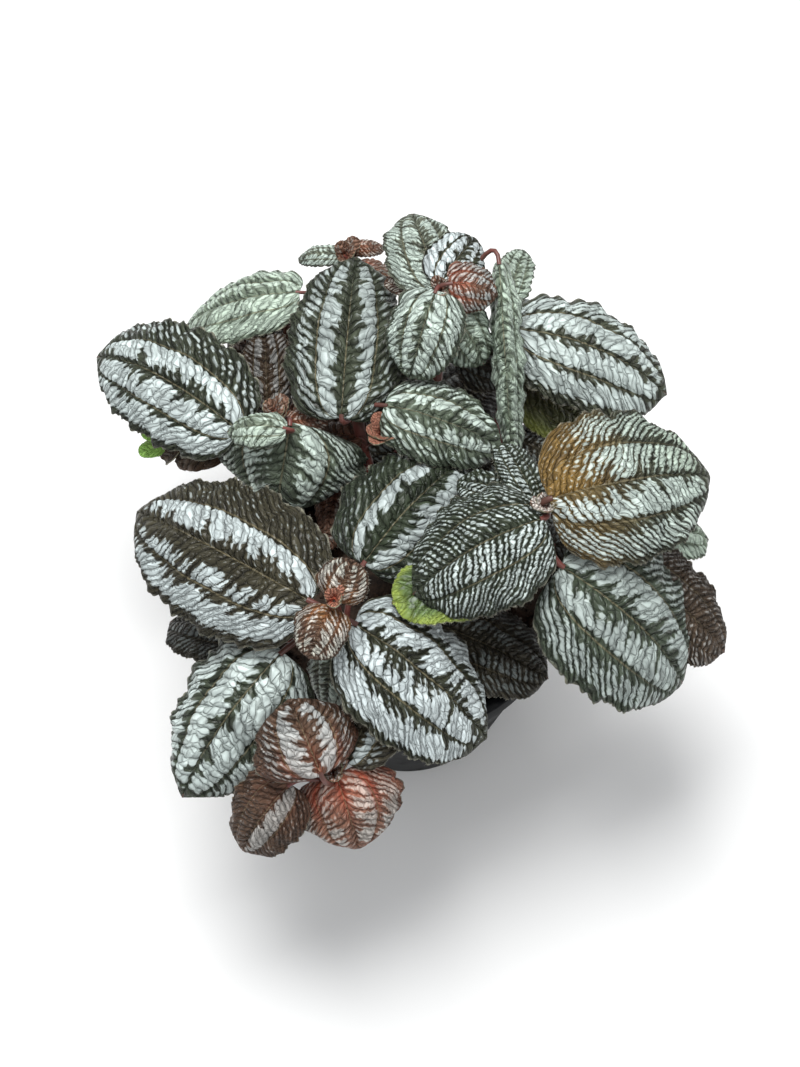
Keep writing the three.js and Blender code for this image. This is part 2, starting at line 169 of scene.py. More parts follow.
# %% The looks of the leaves
LOOKS = {
    "silver": Look(core=0.02, inner=(0.96, 1), outer=(0.7, 0.85), warm=0.25, green=0.3,
        wedge=0.18, sheen=1.06, pitch=4.4),
    "bright": Look(core=(0.02, 0.03), inner=1, outer=(0.92, 0.42), rim=0.93, warm=0.15,
        wedge=0.24, sheen=1.15, pitch=4),
    "white": Look(core=0, inner=1, outer=0.72, rim=0.9, warm=0.1, green=0.3, wedge=0.18,
        sheen=1.15, pitch=4.4),
    "frost": Look(core=0, inner=(1, 0.98), outer=(1, 0.95), rim=0.97, warm=0.2, green=0.08,
        wedge=0.34, sheen=1.12, pitch=3.5),
    "arrow": Look(core=0.1, inner=0.98, outer=(0.62, 0.42), rim=0.86, warm=0.15, green=0.28,
        wedge=0.2, sheen=0.82, pitch=4.3),
    "banded": Look(inner=0.98, outer=(0.5, 0.4), rim=0.85, warm=0.5, green=0.15, wedge=0.22,
        sheen=0.7, pitch=3.6),
    "night": Look(core=(0.16, 0.08), outer=(0.24, 0.36), rim=0.85, warm=0.05, wedge=0.2,
        sheen=0.88, pitch=4.2),
    "olive": Look(core=(0.16, 0.04), inner=(0.72, 1), outer=(0.8, 0.16), rim=0.93, warm=0.42,
        green=0.12, sheen=1.04, pitch=3.7),
    "heather": Look(core=0.02, inner=0.8, outer=0.72, rim=0.97, warm=0.5, green=0.6, wedge=0.3,
        sheen=1.1, pitch=2.7),
    "sage": Look(core=0.02, inner=(0.92, 0.88), outer=0.72, rim=0.97, warm=0.2, green=0.75,
        wedge=0.3, sheen=1.15, pitch=3.2),
    "pale": Look(core=0.02, outer=0.82, rim=0.97, warm=0.1, green=0.8, wedge=0.3, sheen=1.2),
    "mint": Look(core=(0.1, 0.06), inner=1, outer=(0.62, 0.5), rim=0.9, warm=0.1, green=0.55,
        wedge=0.34, sheen=1.25, pitch=3.8, quilt=1.2),
    "copper": Look(core=0, inner=(0.7, 0.74), outer=(0.62, 0.64), rim=0.97, warm=0.25, amber=(1,
        0.55), green=0.3, wedge=0.2, sheen=1.14, pitch=3.1, quilt=1.2),
    "fern": Look(core=(0, 0.02), inner=(0.56, 0.42), outer=(0.5, 0.4), rim=0.99, warm=0.1,
        green=0.25, wedge=0.12, sheen=1.25, pitch=2.6, quilt=1.3),
    "jade": Look(core=0.02, inner=(0.9, 0.98), outer=(0.7, 0.75), rim=0.95, warm=0.15,
        green=0.55, wedge=0.2, sheen=1.15, pitch=3.2),
    "moss": Look(core=(0.03, 0.02), inner=(0.9, 0.8), outer=(0.55, 0.66), rim=0.95, warm=0.05,
        green=0.36, wedge=0.24, sheen=0.86, pitch=4),
    "ridged": Look(core=0.1, inner=0.3, outer=(0.35, 0.42), rim=0.97, warm=0.9, green=0.1,
        sheen=0.8, pitch=3, quilt=1.3),
    "gold": Look(core=0.1, inner=0.5, outer=0.3, warm=0, green=0.3, old=1, sheen=0.45,
        pitch=3.6, quilt=1.1),
    "rose": Look(core=0.02, inner=0.7, outer=0.66, rim=0.97, warm=1, red=0.5, amber=0.5,
        wedge=0.5, sheen=1.1, pitch=2),
    "ember": Look(core=0.02, inner=0.9, outer=(0.78, 0.74), rim=0.95, warm=0.9, red=0.8,
        wedge=0.4, sheen=0.95, pitch=2.8),
    "bronze": Look(core=0.03, inner=0.88, outer=0.5, rim=0.85, warm=0.8, red=0.2, green=0.1,
        sheen=0.82, pitch=3.3),
    "umber": Look(core=(0.02, 0.3), inner=(0.95, 0.3), outer=0.2, rim=0.85, warm=1, red=0.1,
        green=0.1, wedge=0.2, sheen=0.75, pitch=2.8),
    # The looks with shade, dusk, shaded, ochre and cocoa, are painted darker as painted shade, for
    # leaves that lie low in the shadow of others.
    "dusk": Look(inner=0.6, outer=0.5, warm=0.6, green=0.25, shade=0.45, sheen=0.6, pitch=3),
    "shaded": Look(inner=0.9, outer=(0.5, 0.6), warm=0.9, green=0.1, shade=0.25, sheen=0.6,
        pitch=2.8),
    "blush": Look(core=0, inner=0.72, outer=0.66, rim=0.97, warm=0.5, red=0.55, wedge=0.3,
        sheen=1, pitch=2.3, quilt=1.2),
    "wine": Look(core=(0.1, 0.2), inner=(0.7, 0.3), outer=(0.5, 0.2), warm=1, red=0.6,
        green=0.3, sheen=0.6, pitch=2.3),
    "ochre": Look(inner=0.2, outer=0.1, warm=1, old=0.5, shade=0.2, sheen=0.5),
    "downy": Look(core=0, inner=0.9, outer=0.9, rim=1.1, warm=1, red=0.45, wedge=0.1, sheen=1.2,
        pitch=1.8),
    "garnet": Look(core=0, inner=0.1, outer=0, warm=1, red=1.6, green=0, sheen=0.8, pitch=1.6),
    "chestnut": Look(core=0, inner=0.76, outer=0.7, rim=0.97, warm=0.9, red=0.25, amber=0.75,
        wedge=0.4, sheen=1.15, pitch=2),
    "cocoa": Look(inner=0, outer=0, warm=1, red=0.2, shade=0.2, pitch=3),
    "dried": Look(inner=0, outer=0, warm=1, edge=0.6, pitch=4, quilt=0.3),
    "sprig": Look(inner=0, outer=0, green=1, old=9, pitch=2, quilt=0.5),
}
print("looks:", len(LOOKS))

# %% Stems and their leaves
# The low leaves with the dusk look fill the dark gaps under the crowns; their darkness is painted
# shade.
STEMS = {}
STEMS["stem_back"] = Stem((8, 34), (13, 96, 168), 3, "silver_green_leaf", [
    Leaf((11, 99, 172), (2, 139, 163), 33, "heather", arch=50, roll=6),
    Leaf((13, 99, 175), (27, 124, 168), 24, "frost", arch=45, roll=15, curl=30),
    Leaf((16, 96, 180), (35, 97, 170), 22, "blush", arch=55, roll=20, fold=-10, curl=30),
    Leaf((11, 94, 178), (1, 67, 158), 31, "jade", arch=55, roll=6, curl=30),
    Leaf((15, 94, 170), (30, 77, 151), 27, "sage", arch=45),
    Leaf((10, 100, 168), (-8, 111, 160), 14, "rose", arch=30, curl=20),
    Leaf((36, 110, 174), (42, 41, 130), 34, "pale", turn=5, roll=10, fold=-60, curl=20,
         node=0.8),
    Leaf((0, 76, 122), (-13, 100, 109), 27, "dusk", node=0.7),
    Leaf((13, 74, 120), (36, 98, 106), 36, "dusk", node=0.8),
    Leaf((22, 88, 138), (40, 84, 128), 24, "dusk", arch=30, curl=20, node=0.85),
])
STEMS["stem_back_right"] = Stem((30, 24), (42, 92, 132), 2.6, "silver_green_leaf", [
    Leaf((44, 97, 144), (106, 83, 116), 54, "silver", arch=50, turn=-15, roll=-4),
    Leaf((45, 105, 132), (70, 121, 118), 28, "silver", roll=-5, curl=30),
    Leaf((41, 112, 141), (49, 143, 130), 16, "sage", roll=15, curl=30),
    Leaf((46, 84, 124), (75, 72, 108), 34, "ochre", arch=30, roll=-10, curl=20, node=0.8),
    Leaf((44, 62, 116), (72, 50, 104), 28, "dusk", arch=50, node=0.6),
])
STEMS["stem_right"] = Stem((38, -6), (50, 4, 170), 3.2, "silver_green_leaf", [
    Leaf((52, 3, 180), (114, 23, 160), 62, "copper", arch=60, turn=10, roll=15),
    Leaf((50, -3, 176), (3, -24, 156), 52, "fern", arch=60, turn=8, roll=3),
    Leaf((57, -16, 162), (107, -41, 109), 66, "moss", arch=60, turn=5, roll=5, fold=6,
         curl=50),
    Leaf((35, -12, 152), (-5, -26, 151), 34, "gold", roll=10, curl=20, node=0.6),
    Leaf((48, 11, 159), (20, 28, 145), 19, "fern", arch=45, curl=30),
    Leaf((48, 11, 163), (37, 42, 149), 16, "fern", roll=6, curl=30),
    Leaf((78, 17, 136), (120, 18, 113), 30, "pale", roll=-10, curl=30, node=0.5),
    Leaf((60, 14, 124), (84, 36, 108), 29, "dusk", arch=50, node=0.5),
    Leaf((81, -3, 138), (125, -26, 103), 40, "ridged", arch=45, curl=30, node=0.6),
    Leaf((55, 0, 146), (72, 2, 130), 24, "dusk", arch=30, curl=20, node=0.8),
])
STEMS["stem_center"] = Stem((-18, -24), (-27, -35, 166), 3.2, "silver_green_leaf", [
    Leaf((-26, -34, 172), (-20, -23, 182), 19, "chestnut", arch=50, roll=4, fold=15),
    Leaf((-28, -36, 170), (-36, -54, 166), 21, "chestnut", arch=60, fold=10, curl=50),
    Leaf((-36, -32, 166), (-104, 18, 138), 61, "olive", arch=50, turn=-14, roll=-17),
    Leaf((-20, -37, 157), (29, -67, 117), 60, "frost", arch=50, turn=-5, roll=-12),
    Leaf((-17, -7, 144), (22, 40, 138), 52, "night", arch=55, turn=-4, roll=8, curl=45,
         node=0.6),
    Leaf((9, -22, 122), (54, -39, 107), 38, "dusk", curl=30, node=0.4),
    Leaf((-28, -37, 147), (-31, -56, 119), 21, "heather", roll=20, curl=30, node=0.7),
    Leaf((-47, -44, 146), (-86, -86, 104), 59, "white", arch=55, turn=4, roll=-6, fold=-15,
         node=0.6),
    Leaf((-55, -29, 124), (-94, -14, 103), 33, "dusk", roll=15, curl=30, node=0.4),
])
STEMS["stem_front"] = Stem((-20, -41), (-28, -86, 122), 2.8, "bronze_leaf", [
    Leaf((-32, -90, 139), (-44, -64, 147), 44, "bronze", arch=55, curl=50),
    Leaf((-23, -82, 130), (-8, -53, 134), 28, "banded", arch=50, roll=-10),
    Leaf((-27, -86, 128), (-19, -107, 104), 46, "ember", arch=55, roll=12, curl=50),
    Leaf((-44, -89, 126), (-63, -106, 98), 32, "umber", arch=55, roll=-8),
], lift=20)
STEMS["stem_left"] = Stem((-44, 14), (-54, 50, 140), 2.8, "silver_green_leaf", [
    Leaf((-67, 50, 146), (-128, 99, 118), 51, "bright", arch=60, roll=-24),
    Leaf((-46, 51, 150), (-52, 26, 122), 74, "mint", arch=65, turn=-8, roll=-4, fold=-7,
         curl=50),
    Leaf((-56, 64, 136), (-58, 100, 142), 22, "shaded", roll=-8, curl=30),
    Leaf((-47, 43, 160), (-70, 46, 152), 17, "sage", arch=65, curl=60),
    Leaf((-57, 12, 118), (-84, 7, 106), 24, "dusk", arch=50, node=0.6),
    Leaf((-49, 53, 144), (-32, 58, 140), 12, "rose", arch=30, curl=30),
    Leaf((-48, 58, 132), (-58, 76, 124), 22, "wine", arch=30, curl=20, node=0.9),
])
STEMS["stem_middle"] = Stem((-8, 20), (-20, 60, 140), 3, "silver_green_leaf", [
    Leaf((-26, 52, 152), (-21, 124, 153), 50, "arrow", arch=50, roll=4, curl=45),
    Leaf((-22, 66, 136), (-4, 101, 132), 26, "night", roll=-5, curl=30),
    Leaf((-9, 57, 153), (36, 44, 143), 36, "mint", arch=60, turn=6, roll=6),
    Leaf((-26, 53, 117), (-33, 18, 103), 16, "wine", arch=25, roll=10, curl=20, node=0.6),
    Leaf((-16, 52, 128), (4, 64, 117), 26, "dusk", node=0.75),
    Leaf((-18, 54, 131), (-40, 62, 122), 26, "cocoa", arch=30, curl=20, node=0.8),
    Leaf((12, 52, 126), (36, 42, 118), 28, "dusk", arch=30, curl=20, node=0.65),
])
STEMS["stem_small"] = Stem((-18, 42), (-25, 130, 138), 1.8, "bronze_leaf", [
    Leaf((-26, 132, 144), (-45, 137, 134), 11, "heather", arch=50),
    Leaf((-23, 135, 144), (-10, 140, 138), 9, "rose"),
    Leaf((-44, 113, 146), (-93, 115, 114), 40, "pale", arch=60, roll=15, curl=30, node=0.75),
    Leaf((-47, 118, 126), (-75, 107, 100), 36, "cocoa", arch=20, curl=20, node=0.7),
    Leaf((-22, 128, 142), (-6, 121, 143), 12, "wine", arch=30, curl=30),
], lift=24)
STEMS["withered_shoot"] = Stem((-33, 36), (-88, 73, 107), 1.6, "withered_leaf", [
    Leaf((-75, 62, 108), (-96, 59, 101), 15, "dried", node=0.8),
    Leaf((-94, 67, 103), (-101, 62, 95), 10, "dried", arch=60, curl=-60),
    Leaf((-99, 68, 107), (-110, 69, 109), 9, "sprig", arch=20, curl=20),
    Leaf((-101, 64, 105), (-111, 61, 105), 8, "sprig", arch=20, curl=20),
], lift=22, drop=-6)
print("stems:", len(STEMS), "leaves:", sum(len(stem.leaves) for stem in STEMS.values()))

# %% [markdown]
# ## Wiring materials
# A material is a small network of nodes. Building one in Python is easier to read
# with a helper that adds a node, fills its sockets and hands back its result. A
# value may be a number, a colour or another node's output.

# %% A helper for node networks
class Wiring:
    """Adds nodes to a node tree and joins them up."""

    def __init__(self, tree):
        self.tree = tree

    def put(self, socket, value):
        """Fills an input with a number, a colour or another node's output."""
        if isinstance(value, bpy.types.NodeSocket):
            self.tree.links.new(value, socket)
        elif isinstance(value, tuple) and len(value) == 3 and socket.type == "RGBA":
            socket.default_value = (*value, 1)
        else:
            socket.default_value = value

    def node(self, kind, inputs, result=0, **settings):
        """Adds a node, sets it up and hands back one of its outputs."""
        made = self.tree.nodes.new(kind)
        for name, value in settings.items():
            setattr(made, name, value)
        for name, value in inputs.items():
            self.put(made.inputs[name], value)
        return made.outputs[result]

    def maths(self, operation, *values):
        return self.node("ShaderNodeMath", dict(enumerate(values)), operation=operation)

    def times(self, first, second):
        return self.maths("MULTIPLY", first, second)

    def line(self, value, slope, start):
        """A value times a slope, with a start added."""
        return self.maths("MULTIPLY_ADD", value, slope, start)

    def step(self, value, low, high):
        """0 below low, 1 above high, and a smooth rise between them."""
        limits = {"Value": value, "From Min": low, "From Max": high}
        return self.node("ShaderNodeMapRange", limits, interpolation_type="SMOOTHSTEP")

    def blend(self, share, first, second):
        """From the first colour to the second by a share."""
        return self.node("ShaderNodeMix", {0: share, 6: first, 7: second}, 2, data_type="RGBA")

    def tint(self, colour, value):
        """A colour made lighter or darker by a value."""
        return self.node("ShaderNodeVectorMath", {0: colour, 3: value}, operation="SCALE")

    def speckle(self, scale, detail=3):
        """Soft noise, from 0 to 1. It lies on the object's own coordinates."""
        place = self.node("ShaderNodeTexCoord", {}, "Object")
        return self.node("ShaderNodeTexNoise", {"Vector": place, "Scale": scale, "Detail": detail})

    def parts(self, vector):
        """The three numbers of a vector."""
        split = self.tree.nodes.new("ShaderNodeSeparateXYZ")
        self.put(split.inputs[0], vector)
        return split.outputs


def new_material(name):
    """An empty material, its wiring and its shader."""
    material = bpy.data.materials.new(name)
    material.use_nodes = True
    return material, Wiring(material.node_tree), material.node_tree.nodes["Principled BSDF"]


def relief(wires, height, distance, **under):
    """A bump that pretends the surface rises by up to distance, over another one."""
    return wires.node("ShaderNodeBump", {"Height": height, "Distance": distance, **under})


print("wiring helpers:", ", ".join(name for name in vars(Wiring) if name[0] != "_"))

# %% [markdown]
# ## How a friendship plant colours its leaves
# The silver is air under the skin of the cushions between the veins. It keeps off
# the three ribs, and dark feathers run out along each side vein. One node group
# draws this for every leaf. It gets two maps that lie on the blade: how far along
# and across a point is, and its count of side veins and cushions. A leaf's own look
# comes in as five sets of three numbers, stored on its mesh. Two of the numbers, quilt
# and pitch, are there only to fill their sets: they shape the mesh, not the colour.

# %% The leaf pattern as a node group
SIDE_RIB = 0.48
OLIVE = (0.014, 0.020, 0.011)
BRONZE = (0.042, 0.026, 0.016)
AMBER = (0.115, 0.062, 0.010)
EMBER = (0.36, 0.055, 0.025)
SILVER = (0.53, 0.59, 0.60)
SAGE = (0.36, 0.45, 0.34)
GOLD = (0.36, 0.33, 0.05)
# FRESH_AND_PAINTED_LIGHT is the young green of the sprig, set far brighter than a leaf's own
# colour: painted light, because the sprig lies in the shadow of a leaf above. It also tints
# yellowing margins.
FRESH_AND_PAINTED_LIGHT = (0.50, 0.92, 0.20)
LEAF_GREEN = (0.07, 0.12, 0.045)
BEIGE = (0.46, 0.37, 0.31)
FLUSH = (0.24, 0.105, 0.07)
ROSE = (0.56, 0.33, 0.25)
EDGE_BROWN = (0.10, 0.05, 0.025)
PALE_RIB = (0.26, 0.22, 0.13)
PALE_EDGE = (0.36, 0.35, 0.27)

STORED_SETS = {
    "bands": ("core", "inner", "outer"),
    "tones": ("warm", "red", "green"),
    # The third set holds old and edge, which age a leaf, and shade, which is painted shade that
    # darkens a whole leaf.
    "age": ("old", "edge", "shade"),
    "glow": ("amber", "rim", "quilt"),
    "marks": ("wedge", "sheen", "pitch"),
}
pattern = bpy.data.node_groups.new("leaf_pattern", "ShaderNodeTree")


def add_sockets(way, kind, names):
    """Adds named inputs or outputs of one kind to the pattern's group."""
    for name in names:
        pattern.interface.new_socket(name, in_out=way, socket_type=kind)


add_sockets("INPUT", "NodeSocketFloat", ["Along", "Across", "Vein", "Cushion"])
add_sockets("INPUT", "NodeSocketVector", STORED_SETS)
add_sockets("OUTPUT", "NodeSocketColor", ["Color"])
add_sockets("OUTPUT", "NodeSocketFloat", ["Roughness", "Height"])

w = Wiring(pattern)
given = pattern.nodes.new("NodeGroupInput").outputs
core, inner, outer = w.parts(given["bands"])
warm, red, green = w.parts(given["tones"])
old, edge, shade = w.parts(given["age"])
amber, rim, _ = w.parts(given["glow"])
wedge, sheen, _ = w.parts(given["marks"])
along = given["Along"]
across = w.maths("ABSOLUTE", given["Across"])
print("numbers for each leaf:", ", ".join(STORED_SETS))

# %% One cushion: its dome, and lots drawn for it
DOME_FULLNESS = 0.6


def swelling(count):
    """0 on a vein and 1 in the middle between two."""
    return w.maths("ABSOLUTE", w.maths("SINE", w.times(count, math.pi)))


def inverse(value):
    """What is left of 1."""
    return w.maths("SUBTRACT", 1.0, value)


def rising(value, low, high):
    """0 below low, 1 above high, and a straight rise between them."""
    return w.node("ShaderNodeMapRange", {"Value": value, "From Min": low, "From Max": high})


def drawn_lot(first, second):
    """A random number for each pair of whole numbers, and for each half of the leaf."""
    place = {0: first, 1: second, 2: w.maths("SIGN", given["Across"])}
    return w.node("ShaderNodeTexWhiteNoise", {"Vector": w.node("ShaderNodeCombineXYZ", place)})


pillow = swelling(given["Vein"])
cushion = swelling(given["Cushion"])
dome = w.times(w.maths("POWER", pillow, DOME_FULLNESS), w.line(cushion, 0.35, 0.65))
to_vein = w.maths("ABSOLUTE", w.line(w.maths("FRACT", given["Vein"]), 2.0, -1.0))
chance = drawn_lot(w.maths("FLOOR", given["Vein"]), w.maths("FLOOR", given["Cushion"]))
vein_chance = drawn_lot(w.maths("ROUND", given["Vein"]), 0.0)
print("one cushion in the pattern:", len(pattern.nodes), "nodes")

# %% Small cells inside the cushions
CELLS = 1.15
CELL_STRETCH = 0.8
CRACK_WIDTH = 0.16
FUZZ_SCALE = 800

squeezed = w.times(given["Cushion"], CELL_STRETCH)
net = w.node("ShaderNodeCombineXYZ", {0: given["Vein"], 1: squeezed})
net_inputs = {"Vector": net, "Scale": CELLS}
crack = w.node("ShaderNodeTexVoronoi", net_inputs, "Distance",
               feature="DISTANCE_TO_EDGE", voronoi_dimensions="2D")
cell_tint = w.node("ShaderNodeTexVoronoi", net_inputs, "Color", voronoi_dimensions="2D")
cell_chance = w.parts(cell_tint)[0]
pebble = w.step(crack, 0.0, CRACK_WIDTH)
fuzz = w.maths("SUBTRACT", w.speckle(FUZZ_SCALE, 2), 0.5)
print("cells in the pattern:", len(pattern.nodes), "nodes")

# %% [markdown]
# ## Silver that breaks up into flecks
# The silver is drawn in two moves. First each point gets a fill from 0 to 1, which
# says how much of a band belongs there. Then the fill is weighed against the way to
# the next vein, a lot drawn for each cushion and a fine fuzz. So the bands end in
# feathers and loose flecks. Ground and silver get their tones after that.

# %% How full the silver is in each band
BASE_ZONE = (0.05, 0.75)
FEATHER_LENGTHS = (0.25, 1.5)
INNER_END = 0.475
OUTER_START = 0.488
RIM_FADE = 0.1
TIP_FADE = (0.86, 1.0)
RED_LOSS = 0.35
GOLDEN_BASE = (0.04, 0.36)
GOLDEN_LOSS = 0.9

near_base = inverse(w.step(along, *BASE_ZONE))
shortest, longer = FEATHER_LENGTHS
feather = w.times(wedge, w.line(w.maths("POWER", vein_chance, 1.6), longer, shortest))
from_midrib = rising(across, core, w.maths("ADD", core, feather))
before_rib = rising(inverse(across), 1 - INNER_END, w.line(vein_chance, 0.07, 0.545))
inner_fill = w.times(inner, w.maths("MINIMUM", from_midrib, before_rib))
past_rib = rising(across, OUTER_START, w.line(feather, 0.5, 0.52))
before_rim = rising(w.maths("SUBTRACT", rim, across), 0.0, RIM_FADE)
outer_fill = w.times(outer, w.maths("MINIMUM", past_rib, before_rim))
golden = w.times(w.maths("POWER", amber, 3.0), inverse(w.step(along, *GOLDEN_BASE)))

fill = w.maths("MAXIMUM", inner_fill, outer_fill)
for loss in (
    w.step(along, *TIP_FADE),
    w.times(w.times(red, near_base), RED_LOSS),
    w.times(golden, GOLDEN_LOSS),
):
    fill = w.times(fill, inverse(loss))
print("bands in the pattern:", len(pattern.nodes), "nodes")

# %% Silver that breaks up at its edges
SILVER_SPREAD = 1.28
FULL_BAND = (0.65, 0.95)
FULL_LIFT = 0.6
BETWEEN_LOSS = -1.35
FUZZ_SHARE = 0.5
LOT_SHARE = 0.4
SOFT_EDGE = (-0.16, 0.24)
VEIN_ZONE = (0.03, 0.26)

level = w.maths("SUBTRACT", w.times(fill, SILVER_SPREAD), to_vein)
level = w.line(rising(fill, *FULL_BAND), FULL_LIFT, level)
between = w.times(inverse(cushion), w.maths("POWER", inverse(fill), 1.2))
level = w.line(between, BETWEEN_LOSS, level)
level = w.line(fuzz, FUZZ_SHARE, level)
level = w.line(w.maths("SUBTRACT", chance, 0.5), LOT_SHARE, level)

on_vein = inverse(w.step(pillow, *VEIN_ZONE))
silver_share = w.step(level, *SOFT_EDGE)
for share in (
    inverse(w.times(on_vein, w.line(fill, -0.25, 0.5))),
    rising(fill, -0.25, 0.7),
    w.line(pebble, 0.25, 0.75),
):
    silver_share = w.times(silver_share, share)
print("silver in the pattern:", len(pattern.nodes), "nodes")

# %% The ground and the silver, each with its tones
AMBER_ZONE = (0.1, 0.6)
YOUNG_ZONE = (0.05, 0.6)


def capped(value, scale):
    """A value times a scale, and never above 1."""
    return w.maths("MINIMUM", w.times(value, scale), 1.0)


ground = w.blend(warm, OLIVE, BRONZE)
for share, tone in (
    (w.times(amber, inverse(w.step(along, *AMBER_ZONE))), AMBER),
    (capped(red, 0.6), FLUSH),
    (w.times(w.times(red, inverse(w.step(along, *YOUNG_ZONE))), 0.35), EMBER),
    (w.times(w.maths("POWER", green, 2.0), 0.38), SAGE),
    (capped(old, 0.6), LEAF_GREEN),
):
    ground = w.blend(share, ground, tone)
# The ground is painted lighter on the cushion tops and darker down in the vein creases: painted
# highlight and painted shade. cell_chance adds a random tone to each cell.
ground = w.tint(ground, w.line(dome, 1.1, w.line(cell_chance, 1.0, 0.15)))

bright = w.blend(w.line(w.times(amber, along), 0.6, green), SILVER, SAGE)
bright = w.blend(w.times(w.step(warm, 0.6, 1.0), 0.5), bright, BEIGE)
bright = w.blend(w.times(red, w.line(near_base, 0.6, 0.2)), bright, ROSE)
# The silver is painted brighter on the cushion tops, as painted highlight and shade from the
# relief. Each cushion and cell also gets a random tone.
tone_and_painted_light = w.line(dome, 0.4, w.line(chance, 0.2, w.line(cell_chance, 0.4, 0.32)))
bright = w.tint(bright, w.times(sheen, tone_and_painted_light))
colour = w.blend(silver_share, ground, bright)
print("tones in the pattern:", len(pattern.nodes), "nodes")

# %% Ribs, margin, age and painted shade
RIB_GLOW = (0.02, 0.12)
RIB_LINE = (0.004, 0.018)
LINE_ENDS = (0.4, 0.95)
AGED_RIM = (0.62, 0.98)
AGED_TIP = (0.85, 1.0)
BROWN_RIM = (0.55, 1.0)
CUT_RIM = (0.972, 0.995)
BASE_ROUGHNESS = 0.26

from_side_rib = w.maths("ABSOLUTE", w.maths("SUBTRACT", across, SIDE_RIB))
from_rib = w.maths("MINIMUM", across, from_side_rib)
reddened = w.times(w.times(inverse(w.step(from_rib, *RIB_GLOW)), near_base), red)
rib_line = w.times(inverse(w.step(from_rib, *RIB_LINE)), inverse(w.step(along, *LINE_ENDS)))
outside = w.maths("MAXIMUM", w.step(across, *AGED_RIM), w.step(along, *AGED_TIP))
outside = w.times(outside, w.line(dome, -0.6, 1.2))
yellowed = w.maths("MINIMUM", w.times(old, w.line(outside, 0.8, 0.1)), 1.0)
for share, tone in (
    (w.times(reddened, 0.85), EMBER),
    (w.times(rib_line, 0.5), PALE_RIB),
    (yellowed, w.blend(green, GOLD, FRESH_AND_PAINTED_LIGHT)),
    (w.times(edge, w.step(across, *BROWN_RIM)), EDGE_BROWN),
    (w.times(w.step(across, *CUT_RIM), 0.6), PALE_EDGE),
):
    colour = w.blend(share, colour, tone)

finished = pattern.nodes.new("NodeGroupOutput").inputs
# shade darkens the whole colour: painted shade for the leaves that lie in shadow.
w.put(finished["Color"], w.tint(colour, inverse(shade)))
w.put(finished["Roughness"], w.line(silver_share, 0.06, BASE_ROUGHNESS))
w.put(finished["Height"], w.line(pebble, 0.8, dome))
print("leaf pattern:", len(pattern.nodes), "nodes")

# %% [markdown]
# ## Leaf, underside, edge, stalk and hair
# The upper skin uses the pattern. The underside of a friendship plant's leaf is
# reddish brown with raised veins, its cut edge is pale, its stalks are fleshy and
# flushed with red, and a fringe of short clear hairs stands along its margins.

# %% Leaf materials
GRAIN_SCALE = 1500
MOTTLE_SCALE = 220
CUSHION_BUMP = 0.55 * MM
GRAIN_BUMP = 0.1 * MM
LEAF_GLOSS = 0.26


def leaf_skin():
    """The upper side of a leaf: the pattern with a fine, slightly glossy grain."""
    material, wires, shader = new_material("leaf_skin")
    group = wires.tree.nodes.new("ShaderNodeGroup")
    group.node_tree = pattern
    blade_map = wires.parts(wires.node("ShaderNodeUVMap", {}, uv_map="blade"))
    vein_map = wires.parts(wires.node("ShaderNodeUVMap", {}, uv_map="veins"))
    wires.put(group.inputs["Along"], blade_map[0])
    wires.put(group.inputs["Across"], blade_map[1])
    wires.put(group.inputs["Vein"], vein_map[0])
    wires.put(group.inputs["Cushion"], vein_map[1])
    for stored in STORED_SETS:
        value = wires.node("ShaderNodeAttribute", {}, "Vector", attribute_name=stored)
        wires.put(group.inputs[stored], value)
    grain = wires.speckle(GRAIN_SCALE)
    mottle = wires.line(wires.speckle(MOTTLE_SCALE), 0.8, 0.6)
    wires.put(shader.inputs["Base Color"], wires.tint(group.outputs["Color"], mottle))
    wires.put(shader.inputs["Roughness"], wires.line(grain, 0.16, group.outputs["Roughness"]))
    coarse = relief(wires, group.outputs["Height"], CUSHION_BUMP)
    wires.put(shader.inputs["Normal"], relief(wires, grain, GRAIN_BUMP, Normal=coarse))
    shader.inputs["Specular IOR Level"].default_value = LEAF_GLOSS
    return material


def blotched(name, light, dark, scale, rough, bump):
    """A plain surface: two tones in soft blotches, with a grain six times finer."""
    material, wires, shader = new_material(name)
    blotch = wires.step(wires.speckle(scale), 0.35, 0.65)
    wires.put(shader.inputs["Base Color"], wires.blend(blotch, dark, light))
    grain = wires.speckle(scale * 6)
    wires.put(shader.inputs["Roughness"], wires.line(grain, 0.2, rough))
    wires.put(shader.inputs["Normal"], relief(wires, grain, bump))
    return material


skin = leaf_skin()
underside = blotched("leaf_underside", (0.13, 0.06, 0.04), (0.06, 0.035, 0.022),
                     scale=140, rough=0.5, bump=0.15 * MM)
cut_edge = blotched("leaf_edge", (0.26, 0.25, 0.17), (0.12, 0.11, 0.06),
                    scale=300, rough=0.5, bump=0.05 * MM)
stalk_skin = blotched("stalk", (0.17, 0.05, 0.04), (0.085, 0.036, 0.026),
                      scale=120, rough=0.3, bump=0.1 * MM)
hair_clear = blotched("hair", (0.62, 0.60, 0.52), (0.42, 0.40, 0.33),
                      scale=400, rough=0.45, bump=0.01 * MM)
LEAF_MATERIALS = [skin, underside, cut_edge, stalk_skin, hair_clear]
UNDERSIDE_STEP, EDGE_STEP = 1, 2
STALK_INDEX, HAIR_INDEX = 3, 4
print("materials:", ", ".join(material.name for material in LEAF_MATERIALS))

# %% [markdown]
# ## The form of a blade
# A blade follows an arc from its base to its tip. At each step along the arc, a
# cross-section spreads to both sides, leans down to the margin and carries three
# sunken ribs. On top of that come the cushions: side veins leave the midrib at a
# slant, and cross veins cut the strips between them. All of it is a formula of how
# far along and across a point is, so a flat grid of points can be moved by it.

# %% The arc of the midrib
def heading(yaw, pitch):
    """Unit vectors, one row for each yaw and pitch."""
    level = np.cos(pitch)
    return np.stack([level * np.cos(yaw), level * np.sin(yaw), np.sin(pitch)], axis=-1)


def arc_ratio(angle):
    """How much longer an arc is than its chord."""
    return (angle / 2) / math.sin(angle / 2) if angle else 1


